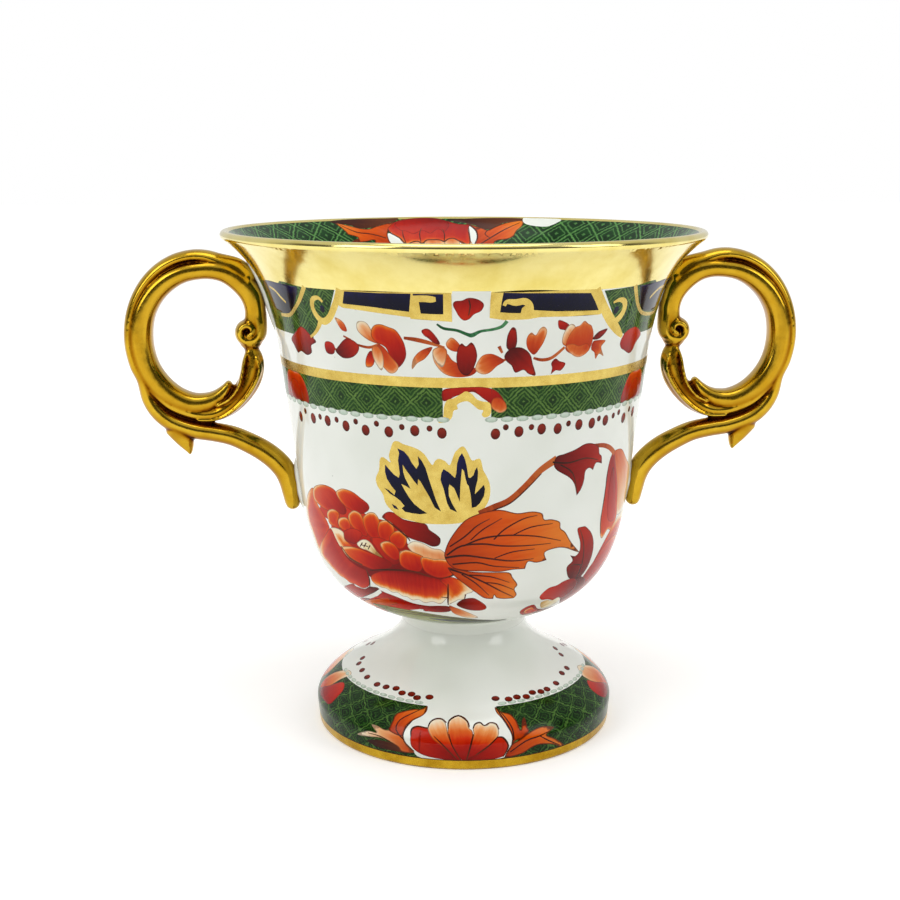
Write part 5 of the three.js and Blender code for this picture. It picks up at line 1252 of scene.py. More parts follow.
for keys in (
    [(-19.9, 4.1, 0.2), (-19.8, 5.3, 0.3), (-18, 6.5, 0.3), (-16.7, 7.5, 0.35), (-16, 8.5, 0.35), (-15, 9.2, 0.35),
     (-13.4, 8.6, 0.3), (-11.4, 8.3, 0.3), (-10, 9.1, 0.35), (-8.5, 8, 0.3), (-6.2, 7.9, 0.3), (-4.2, 8, 0.3),
     (-2.9, 8.5, 0.35), (-1.6, 7.7, 0.3), (0, 7.5, 0.3), (1.3, 8.1, 0.3), (2.6, 8.7, 0.3), (4.1, 9.5, 0.35),
     (5.3, 8.9, 0.3), (4.9, 5.5, 0.3), (4.7, 3.8, 0.2)],
    [(-10.4, 8.5, 0.2), (-10.4, 6, 0.3), (-9.5, 4, 0.15)],
    [(-2.9, 8.3, 0.2), (-2.7, 6.1, 0.3), (-3.2, 4.3, 0.15)],
    [(-15.3, 8.8, 0.2), (-15.7, 6.6, 0.3), (-15.4, 4.6, 0.15)],
    [(-34.6, 2.2, 0.15), (-30.6, 4.8, 0.35), (-25.6, 5.7, 0.35), (-21.4, 7.1, 0.3)],
    [(19.8, 1.9, 0.15), (15.5, 4.6, 0.35), (11.5, 7.4, 0.4), (8.5, 9.3, 0.3)],
    [(10.6, 4.8, 0.2), (9.8, 6.1, 0.3), (11.5, 7.4, 0.2)],
    [(5.1, 3.2, 0.25), (7, 5.1, 0.35), (7.5, 7.4, 0.35), (6.7, 9.5, 0.3)],
):
    paintStroke(insideSheet, keys, "brown", steps=3)
# Half hidden at the right end a second flower stands on the lower gilt line
paintAll(insideSheet, [
    ("orange", (76, 12.9), (76, 6), [(63, 12.9), (64.6, 10.4), (68, 8.8), (70.4, 9.6), (76, 7), (82, 9.4), (84.4, 8.4),
     (87, 10.4), (88.4, 12.9)]),
    ("petal", (76, 12.9), (76, 6), [(68, 12.9), (69.4, 10.6), (72.4, 9.3), (74.2, 9.7), (76.2, 8.3), (79, 9.7),
     (81.6, 9.2), (83.8, 10.8), (84.6, 12.9)]),
    ("red", (76, 12.9), (76, 8), [(71.4, 12.9), (73, 10.8), (76, 10), (79.4, 10.8), (81.2, 12.9)]),
])

paintNames = list(materials)
bowlGather = newGather(paintNames)
gatherSheet(bowlGather, bowlSheet, bowlBake["outside"])
rows = bands["rows"]
gatherRings(bowlGather, bowlSheet, lipLine, 0.0, lipLine["total"], rows["lip"], "rimGold", bowlBake["lip"])
gatherSheet(bowlGather, insideSheet, bowlBake["inside"])
gatherRings(bowlGather, bowlSheet, bowlInside, insideBands["depth"], bowlInside["total"], rows["inside"], "glaze",
            bowlBake["lowerInside"], inside=True)
waistDisc = turnedLine([(0.0, bowlForm["waistHeight"]), waistPoint])
gatherRings(bowlGather, bowlSheet, waistDisc, 0.0, waistDisc["total"], rows["underside"], "glaze",
            bowlBake["underside"])
bowlPainted = finishGather("bowlPainted", bowlGather, materials)
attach(bowlPainted, "root")
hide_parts("bowl")


# The foot, drawn in degrees round from the front and mm up its outside from the table

footBands = {
    "reference": 25.0,
    "cell": 0.9,
    "rows": {"under": 44, "ring": 3},
    "footGold": (0.0, 2.55),
    "brownLine": (2.55, 2.75),
    "diaper": (2.6, 14.9),
    "belowReserve": (2.6, 3.4),
    "reserve": (-19.4, 11),
    "scallops": {"along": 15.5, "step": 4.7, "count": 17, "size": (2.1, 0.9), "gap": (-19, 12)},
    "dotSize": (1.9, 1.5),
    "dots": (
        (-69, 18.5), (-60.4, 17.9), (-50.3, 17.4), (-44.3, 17.6), (-38.5, 18), (-33.9, 17.2), (-28.9, 17.4),
        (-25.4, 16.7), (-19.6, 17.3), (11.8, 17), (17.8, 16.4), (22.2, 16.6), (26.8, 16.2), (31.1, 16.9),
        (35.7, 16.5), (39.8, 16.6), (47.7, 17.1), (58.1, 18.5), (65.8, 18.6), (77.6, 21.3), (82.3, 23),
        (-78, 18.9), (-82, 20.2)),
}
footSheet = newSheet(footOutside, 0.0, footOutside["total"], footBands["reference"], footBands["cell"], "glaze")
reserveLeft, reserveRight = footBands["reserve"]
for first, last in ((-90, reserveLeft), (reserveRight, 90)):
    paintBand(footSheet, *footBands["diaper"], "darkDiaper", first, last)
paintBand(footSheet, *footBands["belowReserve"], "darkDiaper", reserveLeft, reserveRight)
paintAll(footSheet, [
    ("palePetal", (-80.1, 9.3), (-77.9, 16), [(-85.9, 7.9), (-87.6, 9.4), (-87, 11.1), (-84.3, 13.4), (-77.7, 16.1),
     (-71.9, 16), (-74.4, 13.5), (-76.4, 11.1), (-79.7, 9.2)]),
    ("red", (-77.3, 7), (-70.1, 13.3), [(-85, 7.7), (-77.3, 10.6), (-72.7, 12.9), (-69.2, 13.5), (-65.5, 12.2),
     (-65.4, 9.7), (-67.3, 7.7), (-73.3, 7.4), (-80.1, 7.3)]),
    ("palePetal", (75.6, 8.8), (75.9, 16.4), [(75.4, 16.8), (85.4, 13.5), (88.2, 10.8), (85.9, 8.8), (82.6, 7.6),
     (71.4, 11.7), (69.1, 13.5), (69, 15)]),
    ("red", (71.9, 6.8), (67.7, 13), [(67.8, 13.3), (71.4, 11.7), (82, 8.3), (80.2, 7.4), (70.7, 7.3), (65.5, 9.1),
     (64, 11.6)]),
    ("glaze", [(-19.1, 15.6), (-18.6, 13.8), (-20.2, 12.2), (-23, 11), (-25.3, 9.4), (-25.9, 7.6), (-25, 5.9),
     (-22, 4.4), (-18.5, 2.7), (-2.4, 2.7), (10.7, 2.8), (12.9, 4.1), (14.1, 5.9), (14.6, 7.6), (13.8, 9.8),
     (11.6, 12.4), (9.6, 14.2), (11.7, 15.6), (12.7, 16.5), (-4, 17.6), (-20.1, 16.6)]),
    ("brown", [(-41.4, 4.2), (-36.1, 5.1), (-30.9, 5.2), (-27.6, 4.8), (-24.9, 4), (-22.6, 3.5), (-31.1, 3.3),
     (-37.2, 3.4)]),
    ("darkDiaper", [(18, 3.1), (20.7, 4), (25.7, 3.9), (31.6, 3.1), (34.6, 2.3), (25.9, 2.4)]),
    ("palePetal", (-21.8, 3.9), (-45.8, 4.9), [(-46.3, 4.8), (-40.7, 6.5), (-36.8, 6.7), (-39.8, 8), (-36.9, 8.1),
     (-33.9, 7.7), (-31.4, 7.8), (-28.5, 7.3), (-25.8, 7.3), (-25, 5.9), (-22.9, 4.5), (-21.3, 3.8), (-26, 3.6),
     (-27.6, 4.6), (-30.8, 5.4), (-35.1, 5.8), (-39.7, 5.3)]),
    ("orange", (-26.1, 7.1), (-19.1, 14.8), [(-19.2, 14.9), (-21.1, 13.9), (-24.6, 13.6), (-28.5, 12.7), (-31.4, 11.7),
     (-31.6, 10.2), (-31.9, 8.7), (-31.9, 7.8), (-28.6, 7.2), (-25.9, 7.2), (-25.4, 9.3), (-23.1, 11.1), (-20.2, 12.2),
     (-18.8, 13.5)]),
    ("orange", (14.4, 6.7), (10.9, 14.7), [(10.4, 14.7), (12.8, 13.3), (15.9, 12.6), (17.6, 10.9), (18, 9.4),
     (18.5, 8.6), (20, 10.6), (21.5, 11.2), (21.3, 9.2), (21.6, 8.1), (20.5, 7.5), (18.2, 6.8), (15.9, 6.5),
     (14.1, 5.8), (14.6, 7.6), (13.6, 9.4), (12.1, 11.6), (10.4, 13.3)]),
    ("orange", (12.6, 3.4), (31.8, 7.7), [(20.4, 7.5), (24.6, 8.3), (28.2, 8.4), (32.1, 7.7), (30.3, 7.1), (28.4, 6.4),
     (31.9, 5.2), (36.8, 2.9), (35, 2.7), (31.5, 3.8), (25.6, 4.6), (22.3, 4.3), (18.4, 3.2), (12.1, 2.8), (12.5, 4.1),
     (14.3, 5.8), (17.4, 6.6)]),
    ("red", (-3.8, 2.6), (-21.4, 9.3), [(-22.9, 7.4), (-22.9, 8.8), (-21.1, 9.7), (-18.5, 9.7), (-16.6, 9.6),
     (-13.9, 8), (-10.8, 6.4), (-8, 4.6), (-5.1, 2.8), (-8.9, 2.7), (-15.5, 3.1), (-19.5, 3.8), (-22.1, 5),
     (-22.8, 6.4)]),
    ("red", (-1.7, 2.6), (12.1, 6.9), [(9.2, 7.7), (10.8, 7.6), (12.3, 6.7), (12.9, 5.6), (12.4, 4.5), (10.9, 3.1),
     (4.8, 2.6), (-2.4, 2.6), (-1, 3.5), (3.3, 4.8), (6.5, 6.4)]),
    ("tipPetal", (-3.1, 2.3), (-13.5, 11.8), [(-16.9, 9.5), (-16.6, 10.9), (-14.9, 11.7), (-12.3, 11.9), (-10.5, 11.2),
     (-9.6, 9.9), (-8.7, 8), (-6.7, 5.9), (-4.1, 2.7), (-5.6, 2.7), (-8.1, 4.2), (-11.3, 6), (-14.6, 7.4)]),
    ("tipPetal", (-2.4, 2.3), (5.5, 11.1), [(0.2, 9.7), (0.9, 10.7), (3, 11.2), (4.4, 10.6), (5.6, 10.4), (7, 11),
     (9, 10.7), (9.9, 9.6), (9.5, 7.9), (6.8, 6.3), (3.5, 4.6), (-0.7, 3.3), (-2.3, 2.7), (-2, 4.7), (-0.6, 6.9),
     (0.4, 8.3)]),
    ("tipPetal", (-3.1, 2.3), (-5.4, 12.9), [(-9.3, 9.7), (-9.1, 11.5), (-7.6, 12.6), (-5.4, 12.9), (-3.1, 12.6),
     (-1.7, 11.6), (-1.3, 10.1), (0.1, 9.1), (0, 7.1), (-1.1, 5.4), (-2.3, 2.7), (-4, 2.7), (-7, 5.6), (-8.8, 8)]),
])
for keys in (
    [(-23.7, 10.7, 0.2), (-25.4, 8.9, 0.3), (-25.8, 7.2, 0.3), (-24.5, 5.7, 0.3), (-21.4, 4.1, 0.25)],
    [(10.7, 14.7, 0.2), (12.3, 12.2, 0.35), (14, 9.5, 0.35), (14.7, 7.5, 0.3), (14.2, 5.7, 0.3), (12.5, 3.8, 0.25)],
    [(-16.8, 9.6, 0.2), (-16.3, 11, 0.35), (-14.3, 11.9, 0.35), (-11.9, 11.9, 0.35), (-10, 11.1, 0.3)],
    [(-9.1, 9.7, 0.25), (-9, 11.6, 0.4), (-5.4, 12.9, 0.4), (-1.9, 11.6, 0.4), (-1.1, 10.1, 0.3)],
    [(0.3, 9.8, 0.25), (1.1, 10.8, 0.35), (3.1, 11.2, 0.35), (4.7, 10.4, 0.3), (7, 11, 0.3), (9.3, 10.6, 0.35),
     (10, 9.3, 0.3)],
    [(-22.7, 7.3, 0.25), (-23, 8.9, 0.4), (-20.9, 9.7, 0.4), (-16.8, 9.5, 0.3)],
    [(9.3, 7.7, 0.25), (11.3, 7.4, 0.4), (12.9, 5.7, 0.4), (12.3, 4.3, 0.35), (11.1, 3.1, 0.25)],
    [(-8.7, 8.6, 0.15), (-7.3, 6.1, 0.3), (-4.4, 2.9, 0.2)],
    [(0.3, 8.6, 0.2), (-0.6, 6.5, 0.4), (-2.1, 2.9, 0.2)],
    [(-14.1, 7.9, 0.15), (-10.7, 6.2, 0.3), (-6, 3.2, 0.15)],
    [(9.3, 7.8, 0.2), (6.2, 6.2, 0.35), (1.2, 4, 0.2)],
    [(-25.2, 6.4, 0.3), (-29, 8.2, 0.3), (-28.7, 10.5, 0.3), (-24, 12.8, 0.25), (-19.8, 14.5, 0.15)],
    [(15.1, 6.7, 0.3), (15.2, 9.3, 0.35), (13.2, 12.3, 0.3), (11.2, 14.2, 0.2)],
    [(13.7, 4, 0.3), (19.7, 6.1, 0.35), (25.5, 6.6, 0.3), (30.2, 7.2, 0.15)],
    [(25.5, 6.6, 0.2), (29.9, 4.8, 0.3), (34.9, 3.1, 0.15)],
    [(-30.8, 5.4, 0.3), (-35.1, 6.1, 0.25), (-40.6, 6.1, 0.15)],
):
    paintStroke(footSheet, keys, "brown", steps=3)

# The gilt edge, a painted shadow line in dark blue under the waist, and the scallops and dots above the border
paintBand(footSheet, *footBands["footGold"], "footGold")
paintBand(footSheet, *footBands["brownLine"], "brown")
# painted shadow: a short dark blue stroke at the top of the stem, under the bowl's waist
paintStroke(footSheet, [(-10, 34.6, 0.2), (-4, 34.9, 0.9), (4, 34.9, 0.9), (9, 34.6, 0.2)], "navy")
scallops = footBands["scallops"]
for i in range(-scallops["count"], scallops["count"] + 1):
    if not scallops["gap"][0] < scallops["step"] * i < scallops["gap"][1]:
        paintOval(footSheet, scallops["step"] * i, scallops["along"], *scallops["size"], "scallop", points=10)
for angle, along in footBands["dots"]:
    paintOval(footSheet, angle, along, *footBands["dotSize"], "dot", points=10)

footBake = {
    "outside": ((0.004, 0.62, 0.996, 0.996), (0.004, 0.24, 0.996, 0.616)),
    "under": (0.004, 0.004, 0.996, 0.218),
    "ring": (0.004, 0.222, 0.996, 0.236),
}
footGather = newGather(paintNames)
gatherSheet(footGather, footSheet, footBake["outside"])
# the glaze stops where the flat ring begins
ringFrom = footUnder["lengths"][-2]
rows = footBands["rows"]
gatherRings(footGather, footSheet, footUnder, 0.0, ringFrom, rows["under"], "glaze", footBake["under"])
gatherRings(footGather, footSheet, footUnder, ringFrom, footUnder["total"], rows["ring"], "bisque", footBake["ring"])
footPainted = finishGather("footPainted", footGather, materials)
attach(footPainted, "root")
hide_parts("foot")


# The handles. A limb follows keys of (out from the axis, height, thickness, depth) in mm in the plane of the handle.
# Its section is an ellipse at squareness 2 and nears a rectangle above that, and its ends are rounded

def addLimb(form, keys, steps=6, sides=20, squareness=2.0, capAngles=(80, 60, 35)):
    line = smoothLine([tuple(map(float, key)) for key in keys], steps)
    stations = []
    for i, key in enumerate(line):
        before, after = line[max(i - 1, 0)], line[min(i + 1, len(line) - 1)]
        way = (after[0] - before[0], after[1] - before[1])
        length = math.hypot(*way) or 1.0
        stations.append((key, (way[0] / length, way[1] / length), 0.0, 1.0))
    first, last = [], []
    for a in map(math.radians, capAngles):
        first.append((stations[0][0], stations[0][1], -math.sin(a), math.cos(a)))
        last.append((stations[-1][0], stations[-1][1], math.sin(a), math.cos(a)))
    rings = []
    for (x, z, thickness, depth), (ax, az), push, scale in first + stations + last[::-1]:
        cx, cz = x + ax * push * thickness / 2, z + az * push * thickness / 2
        ring = []
        for k in range(sides):
            c, s = math.cos(2 * math.pi * k / sides), math.sin(2 * math.pi * k / sides)
            c = math.copysign(abs(c) ** (2 / squareness), c) * thickness / 2 * scale
            s = math.copysign(abs(s) ** (2 / squareness), s) * depth / 2 * scale
            ring.append(form.verts.new(((cx - az * c) * mm, s * mm, (cz + ax * c) * mm)))
        rings.append(ring)
    for one, two in zip(rings, rings[1:]):
        for k in range(sides):
            form.faces.new((one[k], one[(k + 1) % sides], two[(k + 1) % sides], two[k]))
    form.faces.new(rings[0][::-1])
    form.faces.new(rings[-1])


def addBall(form, x, y, z, radius, depth):
    ball = bmesh.ops.create_icosphere(form, subdivisions=3, radius=1.0)
    for vert in ball["verts"]:
        vert.co = Vector(((x + vert.co.x * radius) * mm, (y + vert.co.y * depth / 2) * mm,
                          (z + vert.co.z * radius) * mm))


# One closed skin over all the limbs, softened as the glaze softens a casting
def castSkin(name, form, voxel, rounds):
    bmesh.ops.recalc_face_normals(form, faces=form.faces)
    rough = bpy.data.meshes.new(name)
    form.to_mesh(rough)
    form.free()
    piece = newObject(name, rough)
    remesh = piece.modifiers.new("oneSkin", "REMESH")
    remesh.mode = "VOXEL"
    remesh.voxel_size = voxel * mm
    remesh.use_smooth_shade = True
    soften = piece.modifiers.new("soften", "SMOOTH")
    soften.factor = handleForm["softenFactor"]
    soften.iterations = rounds
    bpy.context.view_layer.update()
    done = bpy.data.meshes.new_from_object(piece.evaluated_get(bpy.context.evaluated_depsgraph_get()))
    piece.modifiers.clear()
    piece.data = done
    bpy.data.meshes.remove(rough)
    done.polygons.foreach_set("use_smooth", [True] * len(done.polygons))
    markCreaseShade(done, voxel)
    print("%s: %d faces" % (name, len(done.polygons)))
    return piece


# 0 on the ridges of the skin and 1 deep in its creases, where the gilding is painted brown as shade
def markCreaseShade(mesh, voxel):
    count = len(mesh.vertices)
    spots, normals = np.zeros(count * 3), np.zeros(count * 3)
    mesh.vertices.foreach_get("co", spots)
    mesh.vertices.foreach_get("normal", normals)
    spots, normals = spots.reshape(-1, 3) / mm, normals.reshape(-1, 3)
    ends = np.zeros(len(mesh.edges) * 2, dtype=np.int64)
    mesh.edges.foreach_get("vertices", ends)
    one, two = ends.reshape(-1, 2).T
    here, there = np.concatenate((one, two)), np.concatenate((two, one))
    share = 1 / np.maximum(np.bincount(here, minlength=count), 1)
    soft = spots.copy()
    for _ in range(round((handleForm["creaseShadeReach"] / voxel) ** 2)):
        soft = np.stack([np.bincount(here, soft[there, k], count) * share for k in range(3)], 1)
    depth = ((soft - spots) * normals).sum(1)
    low, high = handleForm["creaseShadeRange"]
    creaseShade = mesh.attributes.new("creaseShade", "FLOAT", "POINT")
    creaseShade.data.foreach_set("value", np.clip((depth - low) / (high - low), 0, 1).astype(np.float32))


handleForm = {
    "voxel": 0.26,
    "softenRounds": 8,
    "softenFactor": 0.5,
    # reach and depth range, in mm, of the crease measure behind the painted shade on the gilding
    "creaseShadeReach": 1.3,
    "creaseShadeRange": (-0.35, 0.25),
    "ringCentre": (59.3, 90.0),
    "beadRadii": (16.9, 19.5),
    "face": [
        (47.2, 92.6, 4.4, 6.2), (46.8, 96.0, 4.7, 6.4), (47.6, 99.2, 5.0, 6.6), (49.6, 102.0, 5.2, 6.8),
        (52.6, 104.1, 4.8, 7.0), (55.6, 104.9, 4.4, 7.0), (58.8, 104.9, 4.2, 7.0), (62.6, 104.2, 4.3, 7.0),
        (66.1, 102.4, 4.6, 7.0), (69.2, 99.5, 4.9, 7.0), (71.4, 95.6, 5.1, 7.0), (72.3, 91.2, 5.2, 7.0),
        (72.1, 86.8, 5.2, 7.0), (70.9, 82.7, 5.2, 7.0), (68.6, 79.1, 5.2, 7.0), (65.4, 76.3, 5.1, 6.9),
        (61.8, 74.8, 4.9, 6.8), (58.6, 74.9, 4.4, 6.4), (56.1, 75.9, 3.7, 5.8), (54.3, 77.5, 2.8, 5.0),
        (53.3, 79.0, 1.8, 4.2)],
    "scroll": [
        (70.4, 78.4, 2.4, 6.0), (66.6, 74.9, 2.8, 6.4), (63.0, 73.2, 3.0, 6.6), (59.4, 72.4, 3.2, 6.6),
        (56.0, 72.7, 3.8, 6.6), (53.0, 74.3, 4.4, 6.4), (50.4, 76.9, 4.8, 6.2), (48.4, 80.0, 5.0, 6.0),
        (47.5, 83.0, 4.8, 5.8), (47.5, 85.2, 4.2, 5.4), (47.9, 86.8, 3.2, 5.0)],
    "scrollRidges": [
        [(60.0, 71.4, 1.0, 7.0), (56.2, 71.5, 1.2, 7.2), (52.8, 73.0, 1.4, 7.4), (49.6, 75.9, 1.5, 7.4),
         (47.2, 79.4, 1.5, 7.2), (46.0, 82.8, 1.4, 6.8), (46.5, 85.6, 1.1, 6.2)],
        [(55.6, 74.6, 0.9, 7.0), (53.0, 76.0, 1.2, 7.4), (50.9, 78.6, 1.3, 7.6), (49.9, 81.6, 1.4, 7.4),
         (49.4, 84.4, 1.3, 6.8), (48.8, 86.4, 1.0, 6.2)]],
    "strut": [
        (70.9, 76.0, 3.8, 5.8), (68.9, 72.9, 4.2, 6.0), (66.0, 70.6, 4.4, 6.0), (61.5, 68.9, 4.4, 6.0),
        (56.8, 68.1, 4.4, 6.0), (52.8, 67.2, 4.5, 6.0), (49.4, 65.7, 4.7, 6.0), (46.0, 63.8, 4.9, 6.0),
        (43.2, 61.6, 5.0, 6.0), (41.2, 59.2, 5.0, 6.0), (40.2, 56.6, 4.6, 5.8), (39.7, 54.0, 4.2, 5.4),
        (39.4, 51.6, 3.6, 4.8)],
    "spur": [(64.5, 69.2, 6.8, 5.2), (63.4, 66.4, 4.4, 4.4), (62.6, 64.3, 2.1, 3.2), (62.4, 63.3, 0.8, 2.2)],
    "beadStart": [(48.6, 103.4, 4.6, 6.0), (50.8, 105.4, 4.4, 6.0)],
    # width of the bead at these degrees round the ring
    "beadWidths": {108: 3.6, 96: 3.1, 84: 2.9, 70: 2.9, 55: 2.9, 40: 2.9, 25: 2.8, 10: 2.7, -5: 2.7, -20: 3.0,
                   -33: 3.5},
    "beadDepth": 5.8,
    "volute": {"start": (46.4, 95.2, 4.2, 6.2), "centre": (48.4, 91.2), "radius": 2.5, "narrowing": 0.72,
               "turns": 1.25, "steps": 11, "thick": 3.3, "thin": 1.7, "depth": 6.6, "swell": 1.0},
    "eye": {"at": (48.0, 0.0, 89.4), "radius": 2.7, "depth": 6.6},
}


def makeHandle():
    form = bmesh.new()
    addLimb(form, handleForm["face"], squareness=2.7)
    cx, cz = handleForm["ringCentre"]
    rx, rz = handleForm["beadRadii"]
    bead = list(handleForm["beadStart"])
    for angle, width in handleForm["beadWidths"].items():
        a = math.radians(angle)
        bead.append((cx + (rx - width / 2) * math.cos(a), cz + (rz - width / 2) * math.sin(a), width,
                     handleForm["beadDepth"]))
    addLimb(form, bead + handleForm["strut"])
    addLimb(form, handleForm["scroll"])
    for ridge in handleForm["scrollRidges"]:
        addLimb(form, ridge, sides=12)
    addLimb(form, handleForm["spur"])
    volute = handleForm["volute"]
    curl = [volute["start"]]
    for i in range(volute["steps"] + 1):
        share = i / volute["steps"]
        angle = math.pi + 2 * math.pi * volute["turns"] * share
        radius = volute["radius"] * (1 - volute["narrowing"] * share)
        curl.append((volute["centre"][0] + radius * math.cos(angle), volute["centre"][1] + radius * math.sin(angle),
                     mix(volute["thick"], volute["thin"], share),
                     mix(volute["depth"], volute["depth"] + volute["swell"], share)))
    addLimb(form, curl, sides=16)
    addBall(form, *handleForm["eye"]["at"], handleForm["eye"]["radius"], handleForm["eye"]["depth"])
    return castSkin("rightHandleGilded", form, handleForm["voxel"], handleForm["softenRounds"])


# The left handle is the right one turned half round the axis
rightHandle = makeHandle()
rightHandle.data.materials.append(materials["handleGold"])
leftHandle = newObject("leftHandleGilded", rightHandle.data.copy())
for vert in leftHandle.data.vertices:
    vert.co = Vector((-vert.co.x, -vert.co.y, vert.co.z))
for piece, side in ((rightHandle, "right"), (leftHandle, "left")):
    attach(piece, "root")
    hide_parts(side + "_handle")


# Slip pressed out under a handle: a pad on the wall that thins away to a hand-wiped edge

slipForm = {
    "thickness": 1.05,
    "spread": 0.5,
    "lift": 0.015,
    "rows": 36,
    "columns": 14,
    "wipe": 0.16,
    "wipeWaves": 7.3,
    "wipePhase": 2.0,
    # the lower, the fuller the pad stays up to its edge
    "fullness": 0.6,
}


def makeSlipPad(name, node):
    low, high = (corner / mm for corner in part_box(node))
    halfWidth = high.y + slipForm["spread"]
    middle, halfLength = (low.z + high.z) / 2, (high.z - low.z) / 2 + slipForm["spread"]
    side = 1 if high.x > 0 else -1
    heights = np.array([z for _, z in bowlOutside["points"]])
    verts, faces = [], []
    rows, columns = slipForm["rows"], slipForm["columns"]
    for top in (1, 0):
        for j in range(rows + 1):
            v = math.sin(math.pi / 2 * mix(-1, 1, j / rows))
            waves = math.sin(slipForm["wipeWaves"] * v + slipForm["wipePhase"] * side)
            wiped = 1 + slipForm["wipe"] * waves * (1 - v * v)
            along = float(np.interp(middle + v * halfLength, heights, bowlOutside["lengths"]))
            r, z = lineAt(bowlOutside, along)
            out, up = lineNormal(bowlOutside, along)
            for i in range(columns + 1):
                u = math.sin(math.pi / 2 * mix(-1, 1, i / columns))
                room = math.sqrt(max(0.0, 1 - v * v))
                y = u * halfWidth * room ** slipForm["fullness"] * wiped
                bulge = (1 - u * u) ** slipForm["fullness"]
                height = slipForm["lift"] + top * slipForm["thickness"] * bulge * room
                radius = r + out * height
                angle = math.asin(max(-1.0, min(1.0, y / radius)))
                verts.append((side * radius * math.cos(angle) * mm, radius * math.sin(angle) * mm,
                              (z + up * height) * mm))
    sheetSize = (rows + 1) * (columns + 1)
    for j in range(rows):
        for i in range(columns):
            a = j * (columns + 1) + i
            quad = (a, a + 1, a + columns + 2, a + columns + 1)
            faces.append(quad)
            faces.append(tuple(k + sheetSize for k in reversed(quad)))
    return closedPiece(name, verts, faces, node)


ringForm = {
    # mm away from the seam, down the foot and up the bowl
    "steps": (0.1, 0.9, 1.7, 2.6),
    "innerRadius": 13.2,
    "seam": 0.12,
    "cornerShift": (0.25, -0.75),
    "hollowShares": (0.02, 0.1, 0.2, 0.3, 0.4, 0.5, 0.6, 0.7, 0.8, 0.9, 0.98),
    "around": 120,
}


# The ring of slip at the waist, wiped hollow with a finger so that the bowl runs into the stem. Its section climbs
# the foot, dips into the seam, climbs the bowl, and returns in one hollow curve
def makeWaistRing():
    section = []
    for back in reversed(ringForm["steps"]):
        r, z = lineAt(footOutside, footOutside["total"] - back)
        section.append((r + slipForm["lift"], z))
    gap = (stemTop[1] + waistPoint[1]) / 2
    section += [(ringForm["innerRadius"], gap - ringForm["seam"]), (ringForm["innerRadius"], gap + ringForm["seam"])]
    for ahead in ringForm["steps"]:
        r, z = lineAt(bowlOutside, ahead)
        out, up = lineNormal(bowlOutside, ahead)
        section.append((r + out * slipForm["lift"], z + up * slipForm["lift"]))
    start, end = section[-1], section[0]
    corner = (end[0] + ringForm["cornerShift"][0], start[1] + ringForm["cornerShift"][1])
    for t in ringForm["hollowShares"]:
        section.append(tuple((1 - t) ** 2 * a + 2 * t * (1 - t) * c + t * t * b
                             for a, c, b in zip(start, corner, end)))
    around, count = ringForm["around"], len(section)
    verts = [(r * math.cos(2 * math.pi * i / around) * mm, r * math.sin(2 * math.pi * i / around) * mm, z * mm)
             for i in range(around) for r, z in section]
    faces = []
    for i in range(around):
        here, after = i * count, (i + 1) % around * count
        for k in range(count):
            nextK = (k + 1) % count
            faces.append((here + k, after + k, after + nextK, here + nextK))
    return closedPiece("waistSlipRing", verts, faces, "foot_slip_joint")


# One closed piece of slip under the same glaze
def closedPiece(name, verts, faces, node):
    mesh = bpy.data.meshes.new(name)
    mesh.from_pydata(verts, [], faces)
    form = bmesh.new()
    form.from_mesh(mesh)
    bmesh.ops.remove_doubles(form, verts=form.verts, dist=weldReach)
    bmesh.ops.recalc_face_normals(form, faces=form.faces)
    form.to_mesh(mesh)
    form.free()
    mesh.polygons.foreach_set("use_smooth", [True] * len(mesh.polygons))
    mesh.materials.append(materials["glaze"])
    piece = newObject(name, mesh)
    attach(piece, "root")
    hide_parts(node)
    return piece


for side in ("left", "right"):
    for seat in ("Upper", "Lower"):
        makeSlipPad("%s%sSlipPad" % (side, seat), "%s_handle_%s_slip" % (side, seat.lower()))
makeWaistRing()
print("handles cast and slip wiped")


# The camera of the photograph, solved from the ellipses of the rim and the foot

cameraForm = {
    "eyeMm": (-18.69, -324.21, 132.07),
    "tilt": 79.373,
    "turn": -3.097,
    "lens": 57.68,
    "sensor": 36.0,
    "shift": (-0.0097, -0.0375),
    "clip": (0.01, 20.0),
}
cameraData = bpy.data.cameras.new("photoCamera")
cameraData.lens = cameraForm["lens"]
cameraData.sensor_width = cameraForm["sensor"]
cameraData.shift_x, cameraData.shift_y = cameraForm["shift"]
cameraData.clip_start, cameraData.clip_end = cameraForm["clip"]
camera = newObject("photoCamera", cameraData)
camera.location = Vector(cameraForm["eyeMm"]) * mm
camera.rotation_euler = Euler((math.radians(cameraForm["tilt"]), 0, math.radians(cameraForm["turn"])))
scene.camera = camera


# A plain studio: pale floor, a white room with a darker side behind the camera, and three soft boxes

studio = {
    "floorSize": 6.0,
    "floorColors": [(0.3, "EFEFED"), (0.7, "F2F2F0")],
    "floorGrain": 40.0,
    # the paper's own glow near the goblet, where its shadow falls, and far from it
    "floorLift": (0.3, 0.46),
    "liftReach": (0.06, 0.35),
    "roomWhite": 0.77,
    "roomDark": 0.1,
    # the room brightens between these parts of the way round to the back and up to the ceiling
    "backFade": (-0.25, 0.35),
    "ceilingFade": (0.35, 0.7),
    # the height that the soft boxes are turned to
    "aimHeight": 0.06,
}
floorMesh = bpy.data.meshes.new("studioFloor")
half = studio["floorSize"] / 2
floorMesh.from_pydata([(-half, -half, 0), (half, -half, 0), (half, half, 0), (-half, half, 0)], [], [(0, 1, 2, 3)])
floor = newObject("studioFloor", floorMesh)
floorPaint, tree = newMaterial("matteWhitePaper")
where = addNode(tree, "TexCoord").outputs["Object"]
grain = addNode(tree, "TexNoise", {"Vector": where, "Scale": studio["floorGrain"]})
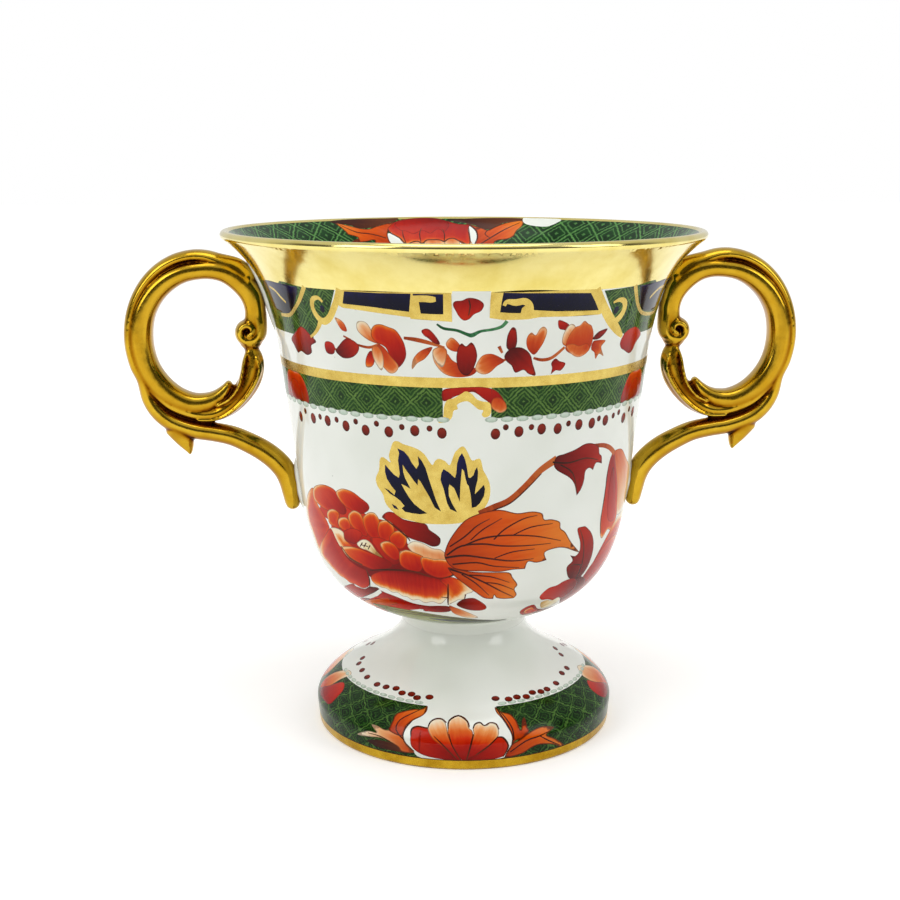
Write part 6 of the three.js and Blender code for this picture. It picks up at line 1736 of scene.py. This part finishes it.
tone = addNode(tree, "ValToRGB", {"Fac": grain}, studio["floorColors"])
paper = addNode(tree, "BsdfDiffuse", {"Color": tone})
rays = addNode(tree, "LightPath")
seen = addNode(tree, "Math", {0: rays.outputs["Is Camera Ray"], 1: rays.outputs["Is Glossy Ray"]}, operation="MAXIMUM")
seen = addNode(tree, "Math", {0: seen, 1: rays.outputs["Is Transmission Ray"]}, operation="MAXIMUM")
far = addNode(tree, "VectorMath", {0: where}, operation="LENGTH")
lift = addNode(tree, "MapRange", {0: far.outputs["Value"], 1: studio["liftReach"][0], 2: studio["liftReach"][1],
                                  3: studio["floorLift"][0], 4: studio["floorLift"][1]})
lift = addNode(tree, "Math", {0: seen, 1: lift}, operation="MULTIPLY")
glow = addNode(tree, "Emission", {"Color": (1, 1, 1, 1), "Strength": lift})
both = addNode(tree, "AddShader", {0: paper, 1: glow})
addNode(tree, "OutputMaterial", {"Surface": both})
floorMesh.materials.append(floorPaint)

world = bpy.data.worlds.new("whiteRoom")
scene.world = world
world.use_nodes = True
tree = world.node_tree
tree.nodes.clear()
way = addNode(tree, "SeparateXYZ", {0: addNode(tree, "TexCoord").outputs["Generated"]})
behind = addNode(tree, "MapRange", {0: way.outputs["Y"], 1: studio["backFade"][0], 2: studio["backFade"][1],
                                    3: 0.0, 4: 1.0}, interpolation_type="SMOOTHSTEP")
above = addNode(tree, "MapRange", {0: way.outputs["Z"], 1: studio["ceilingFade"][0], 2: studio["ceilingFade"][1],
                                   3: 0.0, 4: 1.0}, interpolation_type="SMOOTHSTEP")
bright = addNode(tree, "Math", {0: behind, 1: above}, operation="MAXIMUM")
strength = addNode(tree, "MapRange", {0: bright, 1: 0.0, 2: 1.0, 3: studio["roomDark"], 4: studio["roomWhite"]})
room = addNode(tree, "Background", {"Color": (1, 1, 1, 1), "Strength": strength})
backdrop = addNode(tree, "Background", {"Color": (1, 1, 1, 1), "Strength": 1.0})
rays = addNode(tree, "LightPath")
mixed = addNode(tree, "MixShader", {0: rays.outputs["Is Camera Ray"], 1: room, 2: backdrop})
addNode(tree, "OutputWorld", {"Surface": mixed})

softBoxes = [
    {"name": "leftSoftBox", "at": (-0.55, -0.45, 0.45), "size": (0.35, 0.5), "watts": 1.65},
    {"name": "rightSoftBox", "at": (0.6, -0.35, 0.4), "size": (0.3, 0.45), "watts": 1.1},
    {"name": "topSoftBox", "at": (0.0, -0.1, 0.75), "size": (0.5, 0.5), "watts": 1.6},
]
for box in softBoxes:
    lampData = bpy.data.lights.new(box["name"], "AREA")
    lampData.shape = "RECTANGLE"
    lampData.size, lampData.size_y = box["size"]
    lampData.energy = box["watts"]
    lamp = newObject(box["name"], lampData)
    lamp.location = box["at"]
    lamp.rotation_euler = (Vector((0, 0, studio["aimHeight"])) - lamp.location).to_track_quat("-Z", "Y").to_euler()
print("studio set")
